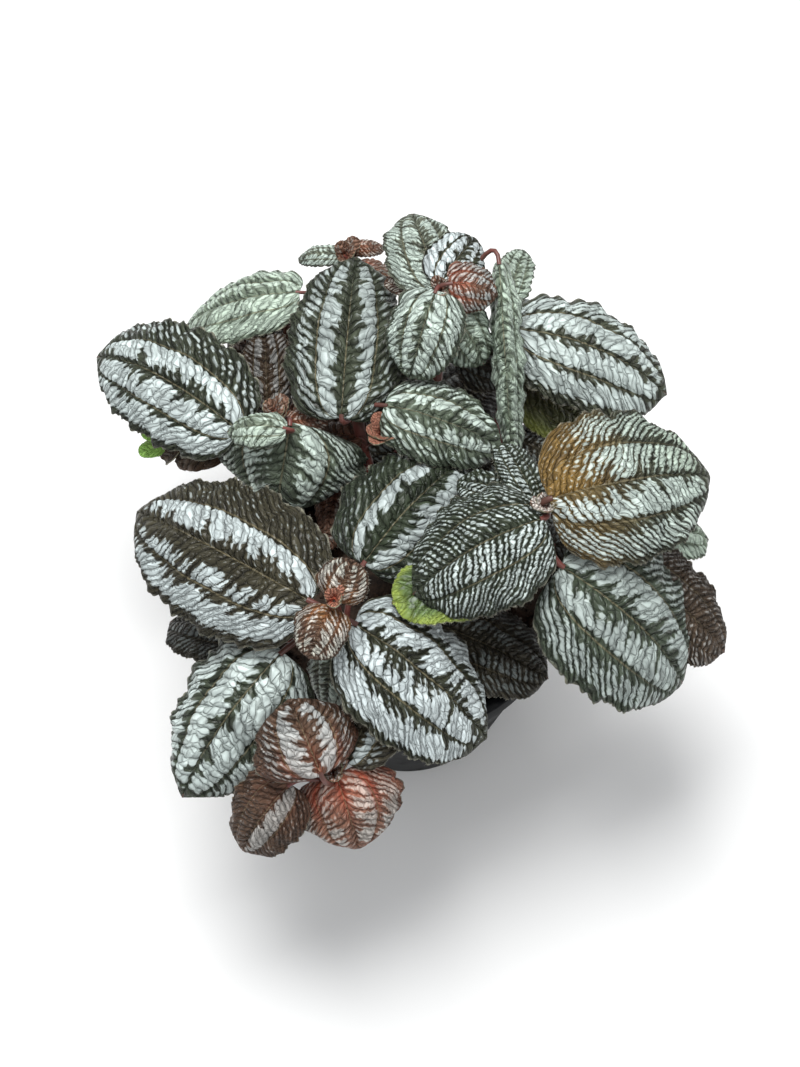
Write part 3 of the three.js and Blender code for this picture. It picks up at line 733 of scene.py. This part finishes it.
class Midrib:
    """The run of a leaf's midrib, in millimetres, with the three directions along it."""
    STEPS = 64

    def __init__(self, leaf):
        start = np.array(leaf.base, float)
        chord = np.array(leaf.tip, float) - start
        span = np.linalg.norm(chord)
        self.bend = math.radians(leaf.arch)
        self.veer = math.radians(leaf.turn)
        self.roll = math.radians(leaf.roll)
        self.yaw = math.atan2(chord[1], chord[0]) - self.veer / 2
        self.pitch = math.asin(chord[2] / span) + self.bend / 2
        self.length = span * arc_ratio(self.bend) * arc_ratio(self.veer)
        middles = (np.arange(self.STEPS) + 0.5) / self.STEPS
        steps = self.forward(middles) * self.length / self.STEPS
        self.points = start + np.vstack([np.zeros(3), np.cumsum(steps, axis=0)])

    def forward(self, along):
        return heading(self.yaw + self.veer * along, self.pitch - self.bend * along)

    def at(self, along):
        knots = np.linspace(0, 1, self.STEPS + 1)
        return np.stack([np.interp(along, knots, line) for line in self.points.T], axis=-1)

    def sides(self, along):
        """Forward, left and up at each place along the midrib."""
        forward = self.forward(along)
        level = heading(self.yaw + self.veer * along + math.pi / 2, np.zeros_like(along))
        rise = np.cross(forward, level)
        left = level * math.cos(self.roll) + rise * math.sin(self.roll)
        return forward, left, np.cross(forward, left)


lengths = [Midrib(leaf).length for stem in STEMS.values() for leaf in stem.leaves]
print("midribs: from", round(min(lengths)), "to", round(max(lengths)), "mm")

# %% Outline and ribs
BLUNTNESS = 0.76
SKEW = 0.14
RIB_DEPTH = 1.6
RIB_WIDTH = 1.1
SIDE_RIB_SHARE = 0.75
PAD_HEIGHT = 1.2
PAD_FLOOR = 0.55
PAD_RISE = 0.45


def outline(along):
    """The half width of a blade at each place along it, as a share of its widest."""
    rise = 2 * np.sqrt(np.clip(along * (1 - along), 0, 1))
    return rise ** BLUNTNESS * (1 + SKEW * (1 - 2 * along))


def ribs(share, width):
    """The pads between the three ribs, and the grooves over them, in millimetres."""
    groove = RIB_WIDTH / (width / 2) + 0.02
    on_midrib = np.exp(-((share / groove) ** 2))
    on_side = np.exp(-(((share - SIDE_RIB) / groove) ** 2))
    inner_pad = 1 - ((share - SIDE_RIB / 2) / (SIDE_RIB / 2)) ** 2
    outer_pad = 1 - ((share - (1 + SIDE_RIB) / 2) / ((1 - SIDE_RIB) / 2)) ** 2
    pad = np.where(share < SIDE_RIB, inner_pad, outer_pad)
    sunk = np.minimum(1, on_midrib + SIDE_RIB_SHARE * on_side)
    return PAD_HEIGHT * (1 - share ** 4) * (PAD_FLOOR + PAD_RISE * pad) - RIB_DEPTH * sunk


print("half width at mid length:", round(float(outline(0.5)), 3))

# %% Side veins that wander
VEIN_WAVES = (
    (0.22, 0.55, 0.5, 1), (0.18, -0.33, 0.8, 2.1), (0.13, 1.25, 0.9, 3.7),
    (0.09, 2.6, -2.3, 1), (0.06, 1.7, 5.1, 2.9), (0.05, -2.9, 7.3, 1),
)
RIB_SLANT = 0.5
SLANT_GAIN = 0.5
CUSHION_WIDTH = 0.75


def vein_counts(look, far, reach, share, phase):
    """How many side veins and cushions lie before each point.

    far and reach are millimetres along and across the blade. Waves make the veins
    wander, so that no two cushions are quite alike. Each has its height, and its
    rates along, across and from leaf to leaf.
    """
    a, b = far / look.pitch, reach / look.pitch
    wander = sum(height * np.sin(ahead * a + aside * b + turn * phase)
                 for height, ahead, aside, turn in VEIN_WAVES)
    slant = RIB_SLANT + SLANT_GAIN * share ** 2
    vein = a - slant * b + wander + 40
    strip = np.floor(vein)
    shift = 0.5 * (strip % 2) + 0.4 * np.sin(strip * 2.4 + phase)
    width = CUSHION_WIDTH * (1 + 0.25 * np.sin(strip * 1.7 + 2 * phase))
    cushion = b / width + shift + 0.22 * np.sin(2.1 * a + phase) + 3
    return vein, cushion


print("waves in the veins:", len(VEIN_WAVES))

# %% Maps and looks stored on a mesh
def store_uv(mesh, name, values):
    """Gives each corner of each face the map position of its vertex."""
    corners = np.empty(len(mesh.loops), np.int32)
    mesh.loops.foreach_get("vertex_index", corners)
    layer = mesh.uv_layers.new(name=name)
    layer.uv.foreach_set("vector", values[corners].astype(np.float32).ravel())


def store_look(mesh, look, on_left):
    """Stores a leaf's look on its points. The two halves may differ."""
    for stored, names in STORED_SETS.items():
        columns = []
        for name in names:
            value = getattr(look, name)
            left, right = value if isinstance(value, tuple) else (value, value)
            columns.append(np.where(on_left, left, right))
        layer = mesh.attributes.new(stored, "FLOAT_VECTOR", "POINT")
        layer.data.foreach_set("vector", np.stack(columns, axis=-1).astype(np.float32).ravel())


print("stored on each blade:", ", ".join(STORED_SETS))

# %% A flat grid for a blade
GRID_ALONG = 0.56
GRID_ACROSS = 1
ROWS_PER_VEIN = 6
LEAST_ROWS = 14
LEAST_COLUMNS = 8
EVEN_SHARE = 0.6
CROWDED_SHARE = 0.4


def as_mesh(name, shape):
    """Turns a bmesh into mesh data and frees it."""
    mesh = bpy.data.meshes.new(name)
    shape.to_mesh(mesh)
    shape.free()
    return mesh


def blade_grid(name, leaf, length):
    """A grid, and how far along, on which side and how far across its points lie.

    The rows crowd together at both ends, where a blade's outline turns fast.
    """
    row_gap = min(GRID_ALONG, LOOKS[leaf.look].pitch / ROWS_PER_VEIN)
    rows = max(LEAST_ROWS, round(length / row_gap))
    columns = max(LEAST_COLUMNS, 4 * round(leaf.width / GRID_ACROSS / 4))
    shape = bmesh.new()
    bmesh.ops.create_grid(shape, x_segments=columns, y_segments=rows, size=1)
    mesh = as_mesh(name, shape)
    flat = np.empty(len(mesh.vertices) * 3, np.float32)
    mesh.vertices.foreach_get("co", flat)
    x, y, _ = flat.reshape(-1, 3).astype(float).T
    even = (y + 1) / 2
    along = EVEN_SHARE * even + CROWDED_SHARE * (1 - np.cos(np.pi * even)) / 2
    half = np.abs(x)
    share = np.where(half < 0.5, 2 * SIDE_RIB * half, SIDE_RIB + 2 * (1 - SIDE_RIB) * (half - 0.5))
    return mesh, along, -np.sign(x), share

# %% Cushions, teeth and ripples
CUSHION_HEIGHT = 0.22
TOOTH = 0.25
LOBE = 0.02
BUCKLE = 0.7
SWELLS = {45: 1, 26: 0.8, 13: 0.6, 0: 0.25}


def quilted(leaf, far, grid, phase):
    """Each point's reach to its side and its height in millimetres, and its counts.

    far is millimetres from the base. Narrow leaves swell less than wide ones.
    """
    along, side, share = grid
    look = LOOKS[leaf.look]
    width_here = outline(along)
    reach = leaf.width / 2 * width_here * share
    vein, cushion = vein_counts(look, far, reach, share, phase + side)
    pillow = np.abs(np.sin(np.pi * vein))
    bead = np.abs(np.sin(np.pi * cushion))
    dome = pillow ** DOME_FULLNESS * (0.7 + 0.3 * bead ** DOME_FULLNESS)
    fine = look.quilt * look.pitch
    lobe = LOBE * (np.sin(0.42 * far + 2 * phase + side) + 0.6 * np.sin(0.95 * far + phase - side))
    reach = reach * (1 + lobe * share ** 4)
    reach = reach + TOOTH * fine * (pillow - 0.5) * share ** 8 * np.minimum(1, 2 * width_here)
    ripple = np.sin(0.33 * far + 1.3 * side + phase) + 0.8 * np.sin(0.8 * far + 2 * phase)
    buckle = BUCKLE * np.sin(0.24 * far + phase) * np.cos(0.2 * side * reach + 2 * phase)
    swell = next(value for least, value in SWELLS.items() if leaf.width >= least)
    height = swell * (ribs(share, leaf.width) + ripple * share ** 3 + buckle)
    height = height + fine * CUSHION_HEIGHT * (dome - 0.5)
    ends = np.sqrt(np.clip(4 * along * (1 - along), 0, 1))
    return reach, ends * height, np.stack([vein, cushion], axis=-1)

# %% A blade bent along its midrib
BASE_LOBE = 0.07
TIP_LOBE = 0.04
TIP_POINT = 0.035


def column(values):
    """A row of numbers as a column, to scale a row of vectors with."""
    return values[:, None]


def blade_mesh(name, leaf, phase):
    """One blade's upper skin, and the line of its margin for the hairs."""
    rib = Midrib(leaf)
    mesh, *grid = blade_grid(name, leaf, rib.length)
    along, side, share = grid
    reach, height, counts = quilted(leaf, along * rib.length, grid, phase)
    forward, left, up = rib.sides(along)
    lean = np.radians(leaf.fold - leaf.curl * share / 2)
    slope = np.radians(leaf.fold - leaf.curl * share) * side
    normal = up * column(np.cos(slope)) - left * column(np.sin(slope))
    lobes = TIP_LOBE * along ** 3 - BASE_LOBE * (1 - along) ** 3
    lobes = lobes * np.minimum(1, outline(along)) * rib.length * share ** 2
    point = TIP_POINT * rib.length * along ** 12 * (1 - share) ** 2
    place = rib.at(along) + forward * column(lobes + point)
    place = place + left * column(side * reach * np.cos(lean)) + up * column(reach * np.sin(lean))
    place = place + normal * column(height)

    mesh.vertices.foreach_set("co", (place * MM).astype(np.float32).ravel())
    store_uv(mesh, "blade", np.stack([along, side * share], axis=-1))
    store_uv(mesh, "veins", counts)
    store_look(mesh, LOOKS[leaf.look], side > 0)
    mesh.shade_smooth()
    margin = share > 0.999
    outward = left * column(side * np.cos(slope)) - up * column(np.abs(np.sin(slope)))
    return mesh, place[margin], outward[margin]


test_mesh, margin, _ = blade_mesh("test_blade", STEMS["stem_right"].leaves[0], 0.0)
print("largest blade:", len(test_mesh.polygons), "faces,", len(margin), "margin points")
bpy.data.meshes.remove(test_mesh)

# %% [markdown]
# ## From skins to a grown stem
# All blades of a stem become one mesh. A Solidify modifier gives the skins their
# thickness, with the underside and the rim in materials of their own. The stem and
# the leaf stalks are curves with a round section. The hairs are tiny three-sided
# needles, one template copied to many places. At last they are joined, so that one
# piece stands for one solid of the frame.

# %% Making pieces
def new_object(name, mesh, materials):
    """A mesh object with its materials."""
    for material in materials:
        mesh.materials.append(material)
    return placed(name, mesh)


def settled(made):
    """Turns an object with modifiers, or a curve, into a plain mesh object."""
    graph = bpy.context.evaluated_depsgraph_get()
    mesh = bpy.data.meshes.new_from_object(made.evaluated_get(graph))
    name, old = made.name, made.data
    store = bpy.data.curves if isinstance(old, bpy.types.Curve) else bpy.data.meshes
    bpy.data.objects.remove(made)
    store.remove(old)
    mesh.name = name
    return placed(name, mesh)


def joined(name, objects):
    """Joins mesh objects into the first one and names it."""
    first = objects[0]
    with bpy.context.temp_override(active_object=first, selected_editable_objects=objects):
        bpy.ops.object.join()
    first.name = first.data.name = name
    return first


def mount(piece, slot, *nodes):
    """Lets a piece ride with the pot, hides the solids it stands for and names them. slot is not
    used.
    """
    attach(piece, "root")
    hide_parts(*nodes)
    print(f"{piece.name}: {len(piece.data.polygons)} faces, stands for {', '.join(nodes)}")

# %% Blades with thickness
BLADE_THICKNESS = 0.55 * MM


def thick_blades(name, meshes):
    """All blades of a stem as one closed body for each blade."""
    objects = [new_object(mesh.name, mesh, LEAF_MATERIALS) for mesh in meshes]
    blades = joined(name + "_blades", objects)
    shape = bmesh.new()
    shape.from_mesh(blades.data)
    bmesh.ops.remove_doubles(shape, verts=shape.verts, dist=1e-7)
    shape.to_mesh(blades.data)
    shape.free()
    shell = blades.modifiers.new("thickness", "SOLIDIFY")
    shell.thickness = BLADE_THICKNESS
    shell.offset = 0
    shell.material_offset = UNDERSIDE_STEP
    shell.material_offset_rim = EDGE_STEP
    return settled(blades)

# %% Stems and stalks as curves
SOIL_LEVEL = 95
ROOTED = 10
ROOT_BEND = 3
STEM_LIFT = 0.35
STEM_DROP = 0.45
NODE_STEP = 0.027
NUDGE = 0.01
STALK_BITE = 1.4
STALK_REACH = 0.4
TAPER = 0.8


def bezier(points, place):
    """A point on a cubic curve."""
    a, b, c, d = points
    rest = 1 - place
    return rest ** 3 * a + 3 * rest ** 2 * place * b + 3 * rest * place ** 2 * c + place ** 3 * d


def stem_points(stem):
    """The four points that steer a stem's curve."""
    foot = np.array([*stem.root, SOIL_LEVEL + 1], float)
    head = np.array(stem.crown, float)
    height = head[2] - foot[2]
    lift = STEM_LIFT * height if stem.lift is None else stem.lift
    drop = STEM_DROP * height if stem.drop is None else stem.drop
    return foot, foot + [0, 0, lift], head - [0, 0, drop], head


def stalk_points(steer, leaf, index):
    """A stalk leaves its stem upwards and runs into the base of its blade."""
    node = leaf.node - NODE_STEP * index
    start = bezier(steer, node)
    tangent = bezier(steer, node + NUDGE) - bezier(steer, node - NUDGE)
    tangent = tangent / np.linalg.norm(tangent)
    base = np.array(leaf.base, float)
    ahead = Midrib(leaf).forward(np.array([0.0]))[0]
    reach = np.linalg.norm(base - start) * STALK_REACH
    return start, start + tangent * reach, base - ahead * reach, base + ahead * STALK_BITE


def add_tube(curve, steer, start_radius, end_radius):
    """Adds one smooth tube to a curve object's data."""
    spline = curve.splines.new("BEZIER")
    spline.bezier_points.add(1)
    ends = spline.bezier_points
    a, b, c, d = (Vector(point) * MM for point in steer)
    ends[0].co, ends[0].handle_left, ends[0].handle_right = a, a + (a - b) / 3, b
    ends[1].co, ends[1].handle_left, ends[1].handle_right = d, c, d + (d - c) / 3
    ends[0].radius, ends[1].radius = start_radius, end_radius


def paint(mesh, index):
    """Gives every face of a mesh one of its materials."""
    mesh.polygons.foreach_set("material_index", np.full(len(mesh.polygons), index, np.int32))


def stalks(name, stem):
    """The stem and the stalks of its leaves. All of them taper a little."""
    curve = bpy.data.curves.new(name + "_stalks", "CURVE")
    curve.dimensions = "3D"
    curve.bevel_depth = MM
    curve.bevel_resolution = 3
    curve.resolution_u = 14
    curve.use_fill_caps = True
    steer = stem_points(stem)
    foot = steer[0]
    below = foot - [0, 0, ROOTED]
    bend = np.array([0, 0, ROOT_BEND])
    add_tube(curve, (below, below + bend, foot - bend, foot), stem.radius, stem.radius)
    add_tube(curve, steer, stem.radius, stem.radius * TAPER)
    for index, leaf in enumerate(stem.leaves):
        radius = min(stem.radius / 2, 0.7 + leaf.width / 80)
        add_tube(curve, stalk_points(steer, leaf, index), radius, radius * TAPER)
    made = settled(placed(name + "_stalks", curve))
    for material in LEAF_MATERIALS:
        made.data.materials.append(material)
    paint(made.data, STALK_INDEX)
    made.data.shade_smooth()
    return made


print("middle of the back stem:", bezier(stem_points(STEMS["stem_back"]), 0.5).round(1))

# %% Hairs from one needle
HAIR_LENGTH = 0.9
HAIR_RADIUS = 0.045
HAIR_RANGE = (0.5, 1.2)
HAIR_SHARE = 0.75
HAIR_LEAN = 0.35
ASLANT = np.array([0.31, 0.17, 0.93])


def template(shape):
    """The points and faces of a small bmesh, for copies."""
    points = np.array([vertex.co[:] for vertex in shape.verts])
    faces = [[vertex.index for vertex in face.verts] for face in shape.faces]
    shape.free()
    return points, faces


def needle():
    """A three-sided needle one unit high, as points and faces."""
    shape = bmesh.new()
    bmesh.ops.create_cone(shape, cap_ends=True, segments=3, radius1=1, radius2=0.1, depth=1)
    bmesh.ops.translate(shape, verts=shape.verts, vec=(0, 0, 0.5))
    return template(shape)


def copies(name, shape, turns, places, material_index):
    """One mesh with a copy of a template at each place, turned by a 3x3 matrix."""
    points, faces = shape
    spots = np.einsum("nij,pj->npi", turns, points) + places[:, None, :]
    mesh = bpy.data.meshes.new(name)
    shifted = [[corner + copy * len(points) for corner in face]
               for copy in range(len(places)) for face in faces]
    mesh.from_pydata((spots.reshape(-1, 3) * MM).tolist(), [], shifted)
    paint(mesh, material_index)
    return mesh


def upright_turns(directions, lengths, radius):
    """Matrices that turn a template's up into each direction and stretch it."""
    up = directions / np.linalg.norm(directions, axis=1, keepdims=True)
    aside = np.cross(up, ASLANT)
    aside /= np.linalg.norm(aside, axis=1, keepdims=True)
    third = np.cross(up, aside)
    return np.stack([aside * radius, third * radius, up * lengths[:, None]], axis=-1)


def margin_hairs(name, places, outward):
    """A fringe of short hairs round the margins."""
    keep = dice.random(len(places)) < HAIR_SHARE
    places, outward = places[keep], outward[keep]
    lean = outward + HAIR_LEAN * dice.normal(size=outward.shape)
    lengths = HAIR_LENGTH * dice.uniform(*HAIR_RANGE, len(places))
    turns = upright_turns(lean, lengths, HAIR_RADIUS)
    mesh = copies(name + "_hairs", needle(), turns, places, HAIR_INDEX)
    return new_object(name + "_hairs", mesh, LEAF_MATERIALS)


print("one needle:", len(needle()[1]), "faces")

# %% Young leaves at the crowns
# Each tuft has its place, its number of leaves, their size and their look.
YOUNG = {
    "stem_back": ((13, 97, 173), 3, 7, "rose"),
    "stem_right": ((51, 2, 175), 5, 7, "downy"),
    "stem_center": ((-27, -35, 173), 4, 6, "garnet"),
    "stem_front": ((-28, -85, 127), 4, 8, "ember"),
    "stem_left": ((-52, 54, 149), 4, 9, "wine"),
    "stem_middle": ((-10, 48, 144), 8, 9, "garnet"),
    "stem_small": ((-25, 131, 143), 4, 9, "wine"),
}
GOLDEN_ANGLE = 2.4
TUFT_RADIUS = 0.8
TUFT_RISE = 0.75
TUFT_WIDTH = 0.85


def young_leaves(place, count, size, look):
    """A tuft of tiny leaves that have just opened, turned by the golden angle."""
    tuft = []
    for index in range(count):
        turn = GOLDEN_ANGLE * index
        lean = 0.35 + 0.5 * index / count
        base = Vector(place) + TUFT_RADIUS * Vector((math.cos(turn), math.sin(turn), 0))
        grown = Vector((lean * math.cos(turn), lean * math.sin(turn), TUFT_RISE)) * size
        tuft.append(Leaf(tuple(base), tuple(base + grown), TUFT_WIDTH * size, look,
                         arch=50, curl=10, fold=12))
    return tuft


print("young leaves:", sum(tuft[1] for tuft in YOUNG.values()))

# %% Grow every stem
PHASE_STEP = 1.7


def grow(name, stem):
    """One stem with its stalks, blades and hairs, as one piece.

    Each leaf gets a phase of its own, so that its waves differ from its neighbours'.
    """
    meshes, places, outwards = [], [], []
    tuft = young_leaves(*YOUNG[name]) if name in YOUNG else []
    for index, leaf in enumerate(stem.leaves + tuft):
        phase = PHASE_STEP * index + len(name)
        mesh, place, outward = blade_mesh(f"{name}_leaf_{index}", leaf, phase)
        meshes.append(mesh)
        if index < len(stem.leaves):
            places.append(place)
            outwards.append(outward)
    blades = thick_blades(name, meshes)
    hairs = margin_hairs(name, np.vstack(places), np.vstack(outwards))
    return joined(name + "_grown", [blades, stalks(name, stem), hairs])


for name, stem in STEMS.items():
    mount(grow(name, stem), stem.slot, name)

# %% [markdown]
# ## The nursery pot
# A nursery pot is a thin moulded shell: a tapering wall, a lip that overhangs it, a
# small foot and holes in its floor. It is turned here from its half section, as a
# potter would, and the holes are cut with a Boolean. Rounded edges catch the light,
# so the sharp ones get a small bevel.

# %% Pot
POT_HEIGHT = 105 * MM
RIM_RADIUS = 62 * MM
BASE_RADIUS = 43 * MM
WALL = 2 * MM
LIP_HEIGHT = 9 * MM
LIP_REACH = 2.5 * MM
FOOT = 2 * MM
DRAIN_COUNT = 6
DRAIN_RADIUS = 4.5 * MM
DRAIN_CIRCLE = 27 * MM
TURN_STEPS = 96
ROUNDING = 0.7 * MM
SHARP_ANGLE = math.radians(25)


def turned(name, section):
    """A body of revolution from its half section, a list of (radius, height)."""
    shape = bmesh.new()
    points = [shape.verts.new((radius, 0, height)) for radius, height in section]
    edges = [shape.edges.new(pair) for pair in zip(points, points[1:])]
    bmesh.ops.spin(shape, geom=points + edges, axis=(0, 0, 1), cent=(0, 0, 0),
                   angle=2 * math.pi, steps=TURN_STEPS, use_merge=True)
    bmesh.ops.remove_doubles(shape, verts=shape.verts, dist=1e-6)
    bmesh.ops.recalc_face_normals(shape, faces=shape.faces)
    return as_mesh(name, shape)


lip_bottom = POT_HEIGHT - LIP_HEIGHT
wall_top = RIM_RADIUS - LIP_REACH
pot_mesh = turned("pot_shell", [
    (0, 0), (BASE_RADIUS - FOOT, 0), (BASE_RADIUS, FOOT),
    (wall_top, lip_bottom), (RIM_RADIUS, lip_bottom), (RIM_RADIUS, POT_HEIGHT),
    (wall_top - WALL, POT_HEIGHT), (wall_top - WALL, lip_bottom),
    (BASE_RADIUS - WALL, FOOT + WALL), (0, FOOT + WALL),
])
rounding = bmesh.new()
rounding.from_mesh(pot_mesh)
sharp = [edge for edge in rounding.edges if edge.calc_face_angle(0) > SHARP_ANGLE]
bmesh.ops.bevel(rounding, geom=sharp, offset=ROUNDING, segments=3, profile=0.5,
                affect="EDGES", material=-1)
rounding.to_mesh(pot_mesh)
rounding.free()
print("pot wall:", len(sharp), "edges rounded")

# %% Drain holes and plastic
DRILL_DEPTH = 20 * MM
DUST_SCALE = 45
PLASTIC_GRAIN = 900
PLASTIC_GLOSS = 0.06
CREASE_ANGLE = math.radians(35)


def drill(count, radius, circle, depth):
    """A ring of upright rods to cut holes with."""
    shape = bmesh.new()
    for index in range(count):
        angle = 2 * math.pi * index / count
        place = Matrix.Translation((circle * math.cos(angle), circle * math.sin(angle), 0))
        bmesh.ops.create_cone(shape, cap_ends=True, segments=24, radius1=radius,
                              radius2=radius, depth=depth, matrix=place)
    return placed("drill", as_mesh("drill", shape))


def moulded_plastic():
    """Black nursery-pot plastic with a faint flow grain and dusty wear."""
    material, wires, shader = new_material("pot_plastic")
    dust = wires.step(wires.speckle(DUST_SCALE), 0.5, 0.75)
    black = wires.blend(dust, (0.006, 0.0065, 0.007), (0.016, 0.015, 0.014))
    wires.put(shader.inputs["Base Color"], black)
    wires.put(shader.inputs["Roughness"], wires.line(dust, 0.18, 0.48))
    wires.put(shader.inputs["Normal"], relief(wires, wires.speckle(PLASTIC_GRAIN), 0.04 * MM))
    shader.inputs["Specular IOR Level"].default_value = PLASTIC_GLOSS
    return material


pot_shell = new_object("pot_shell", pot_mesh, [moulded_plastic()])
rods = drill(DRAIN_COUNT, DRAIN_RADIUS, DRAIN_CIRCLE, DRILL_DEPTH)
cut = pot_shell.modifiers.new("drains", "BOOLEAN")
cut.object = rods
cut.solver = "EXACT"
pot_shell = settled(pot_shell)
bpy.data.objects.remove(rods)
pot_shell.data.shade_smooth()
pot_shell.data.set_sharp_from_angle(angle=CREASE_ANGLE)
mount(pot_shell, "pot_plastic", "pot")

# %% [markdown]
# ## Potting soil
# Soil is a turned body that fills the pot, with its upper face shaken by noise.
# Crumbs and white perlite grains lie half sunk in it. Each crumb is a copy of one
# low ball, turned and stretched differently, because hundreds of them are needed.

# %% Soil body
CLEARANCE = 0.3 * MM
SOIL_TOP = SOIL_LEVEL * MM
SOIL_LUMP = 1.3 * MM
COARSE = 90
FINE = 260
SOIL_DROP = 3 * MM
SOIL_RINGS = 26


def soil_height(x, y):
    """The height of the soil's surface, from noise at two scales."""
    place = Vector((x, y, 0))
    return SOIL_TOP + SOIL_LUMP * (noise.noise(place * COARSE) + 0.6 * noise.noise(place * FINE))


soil_floor = FOOT + WALL + CLEARANCE
soil_edge = wall_top - WALL - CLEARANCE - 0.4 * MM
top_rings = [(soil_edge * (1 - ring / SOIL_RINGS), SOIL_TOP) for ring in range(1, SOIL_RINGS + 1)]
soil_mesh = turned("soil_fill", [
    (0, soil_floor), (BASE_RADIUS - WALL - CLEARANCE, soil_floor),
    (soil_edge, SOIL_TOP - SOIL_DROP), *top_rings,
])
for vertex in soil_mesh.vertices:
    if vertex.co.z > SOIL_TOP - MM:
        vertex.co.z = soil_height(vertex.co.x, vertex.co.y)
soil_mesh.shade_smooth()
print("soil body:", len(soil_mesh.polygons), "faces")

# %% Crumbs and perlite
CRUMBS = 700
PERLITE = 60
STRETCHES = (0.6, 1.1)


def ball():
    """A low ball, as points and faces."""
    shape = bmesh.new()
    bmesh.ops.create_icosphere(shape, subdivisions=1, radius=1)
    return template(shape)


def scattered(name, count, smallest, largest, material_index):
    """Stones or crumbs strewn over the soil, in millimetres."""
    angle = dice.uniform(0, 2 * math.pi, count)
    radius = (soil_edge / MM - largest) * np.sqrt(dice.random(count))
    places = np.stack([radius * np.cos(angle), radius * np.sin(angle), np.zeros(count)], axis=-1)
    places[:, 2] = [soil_height(x * MM, y * MM) / MM for x, y, _ in places]
    sizes = dice.uniform(smallest, largest, count)
    stretch = dice.uniform(*STRETCHES, (count, 3)) * sizes[:, None]
    spins = np.linalg.qr(dice.normal(size=(count, 3, 3)))[0]
    mesh = copies(name, ball(), spins * stretch[:, None, :], places, material_index)
    return new_object(name, mesh, soil_materials)


soil_materials = [
    blotched("soil_peat", (0.060, 0.036, 0.022), (0.018, 0.011, 0.007),
             scale=200, rough=0.75, bump=0.5 * MM),
    blotched("soil_crumb", (0.075, 0.045, 0.028), (0.022, 0.014, 0.009),
             scale=260, rough=0.8, bump=0.3 * MM),
    blotched("perlite", (0.75, 0.74, 0.70), (0.5, 0.48, 0.44),
             scale=300, rough=0.85, bump=0.2 * MM),
]
soil_fill = joined("soil_fill", [
    new_object("soil_fill", soil_mesh, soil_materials),
    scattered("crumbs", CRUMBS, 0.7, 2.2, 1),
    scattered("perlite", PERLITE, 0.8, 1.7, 2),
])
mount(soil_fill, "potting_soil", "soil")

# %% [markdown]
# ## Floor and light
# A plain pale floor and a soft light from large panels show every cushion of the
# leaves without hard shadows. The big panel hangs a little behind the plant, so the
# glossy ridges shine towards the camera. A weak one fills the front.

# %% Studio
def panel(name, place, size, watts):
    """A square soft light that faces the plant."""
    data = bpy.data.lights.new(name, "AREA")
    data.size = size
    data.energy = watts
    made = placed(name, data)
    made.location = place
    made.rotation_euler = (LOOK_AT - Vector(place)).to_track_quat("-Z", "Y").to_euler()


FLOOR_SIZE = 6
SKY_STRENGTH = 0.55
ground_shape = bmesh.new()
bmesh.ops.create_grid(ground_shape, x_segments=1, y_segments=1, size=FLOOR_SIZE / 2)
floor_mesh = as_mesh("floor", ground_shape)
floor_paint, _, floor_shader = new_material("floor_paint")
floor_shader.inputs["Base Color"].default_value = (0.86, 0.86, 0.85, 1)
floor_shader.inputs["Roughness"].default_value = 0.7
new_object("floor", floor_mesh, [floor_paint])

panel("key", (-0.2, 0.45, 1.65), size=0.9, watts=29)
panel("fill", (0.9, -0.9, 1.1), size=1, watts=5)
world = bpy.data.worlds.new("studio")
world.use_nodes = True
sky = world.node_tree.nodes["Background"].inputs
sky["Color"].default_value = (0.95, 0.97, 1.0, 1)
sky["Strength"].default_value = SKY_STRENGTH
bpy.context.scene.world = world
bpy.context.scene.view_settings.view_transform = "Standard"
print("lights:", ", ".join(sorted(light.name for light in bpy.data.lights)))

# %% [markdown]
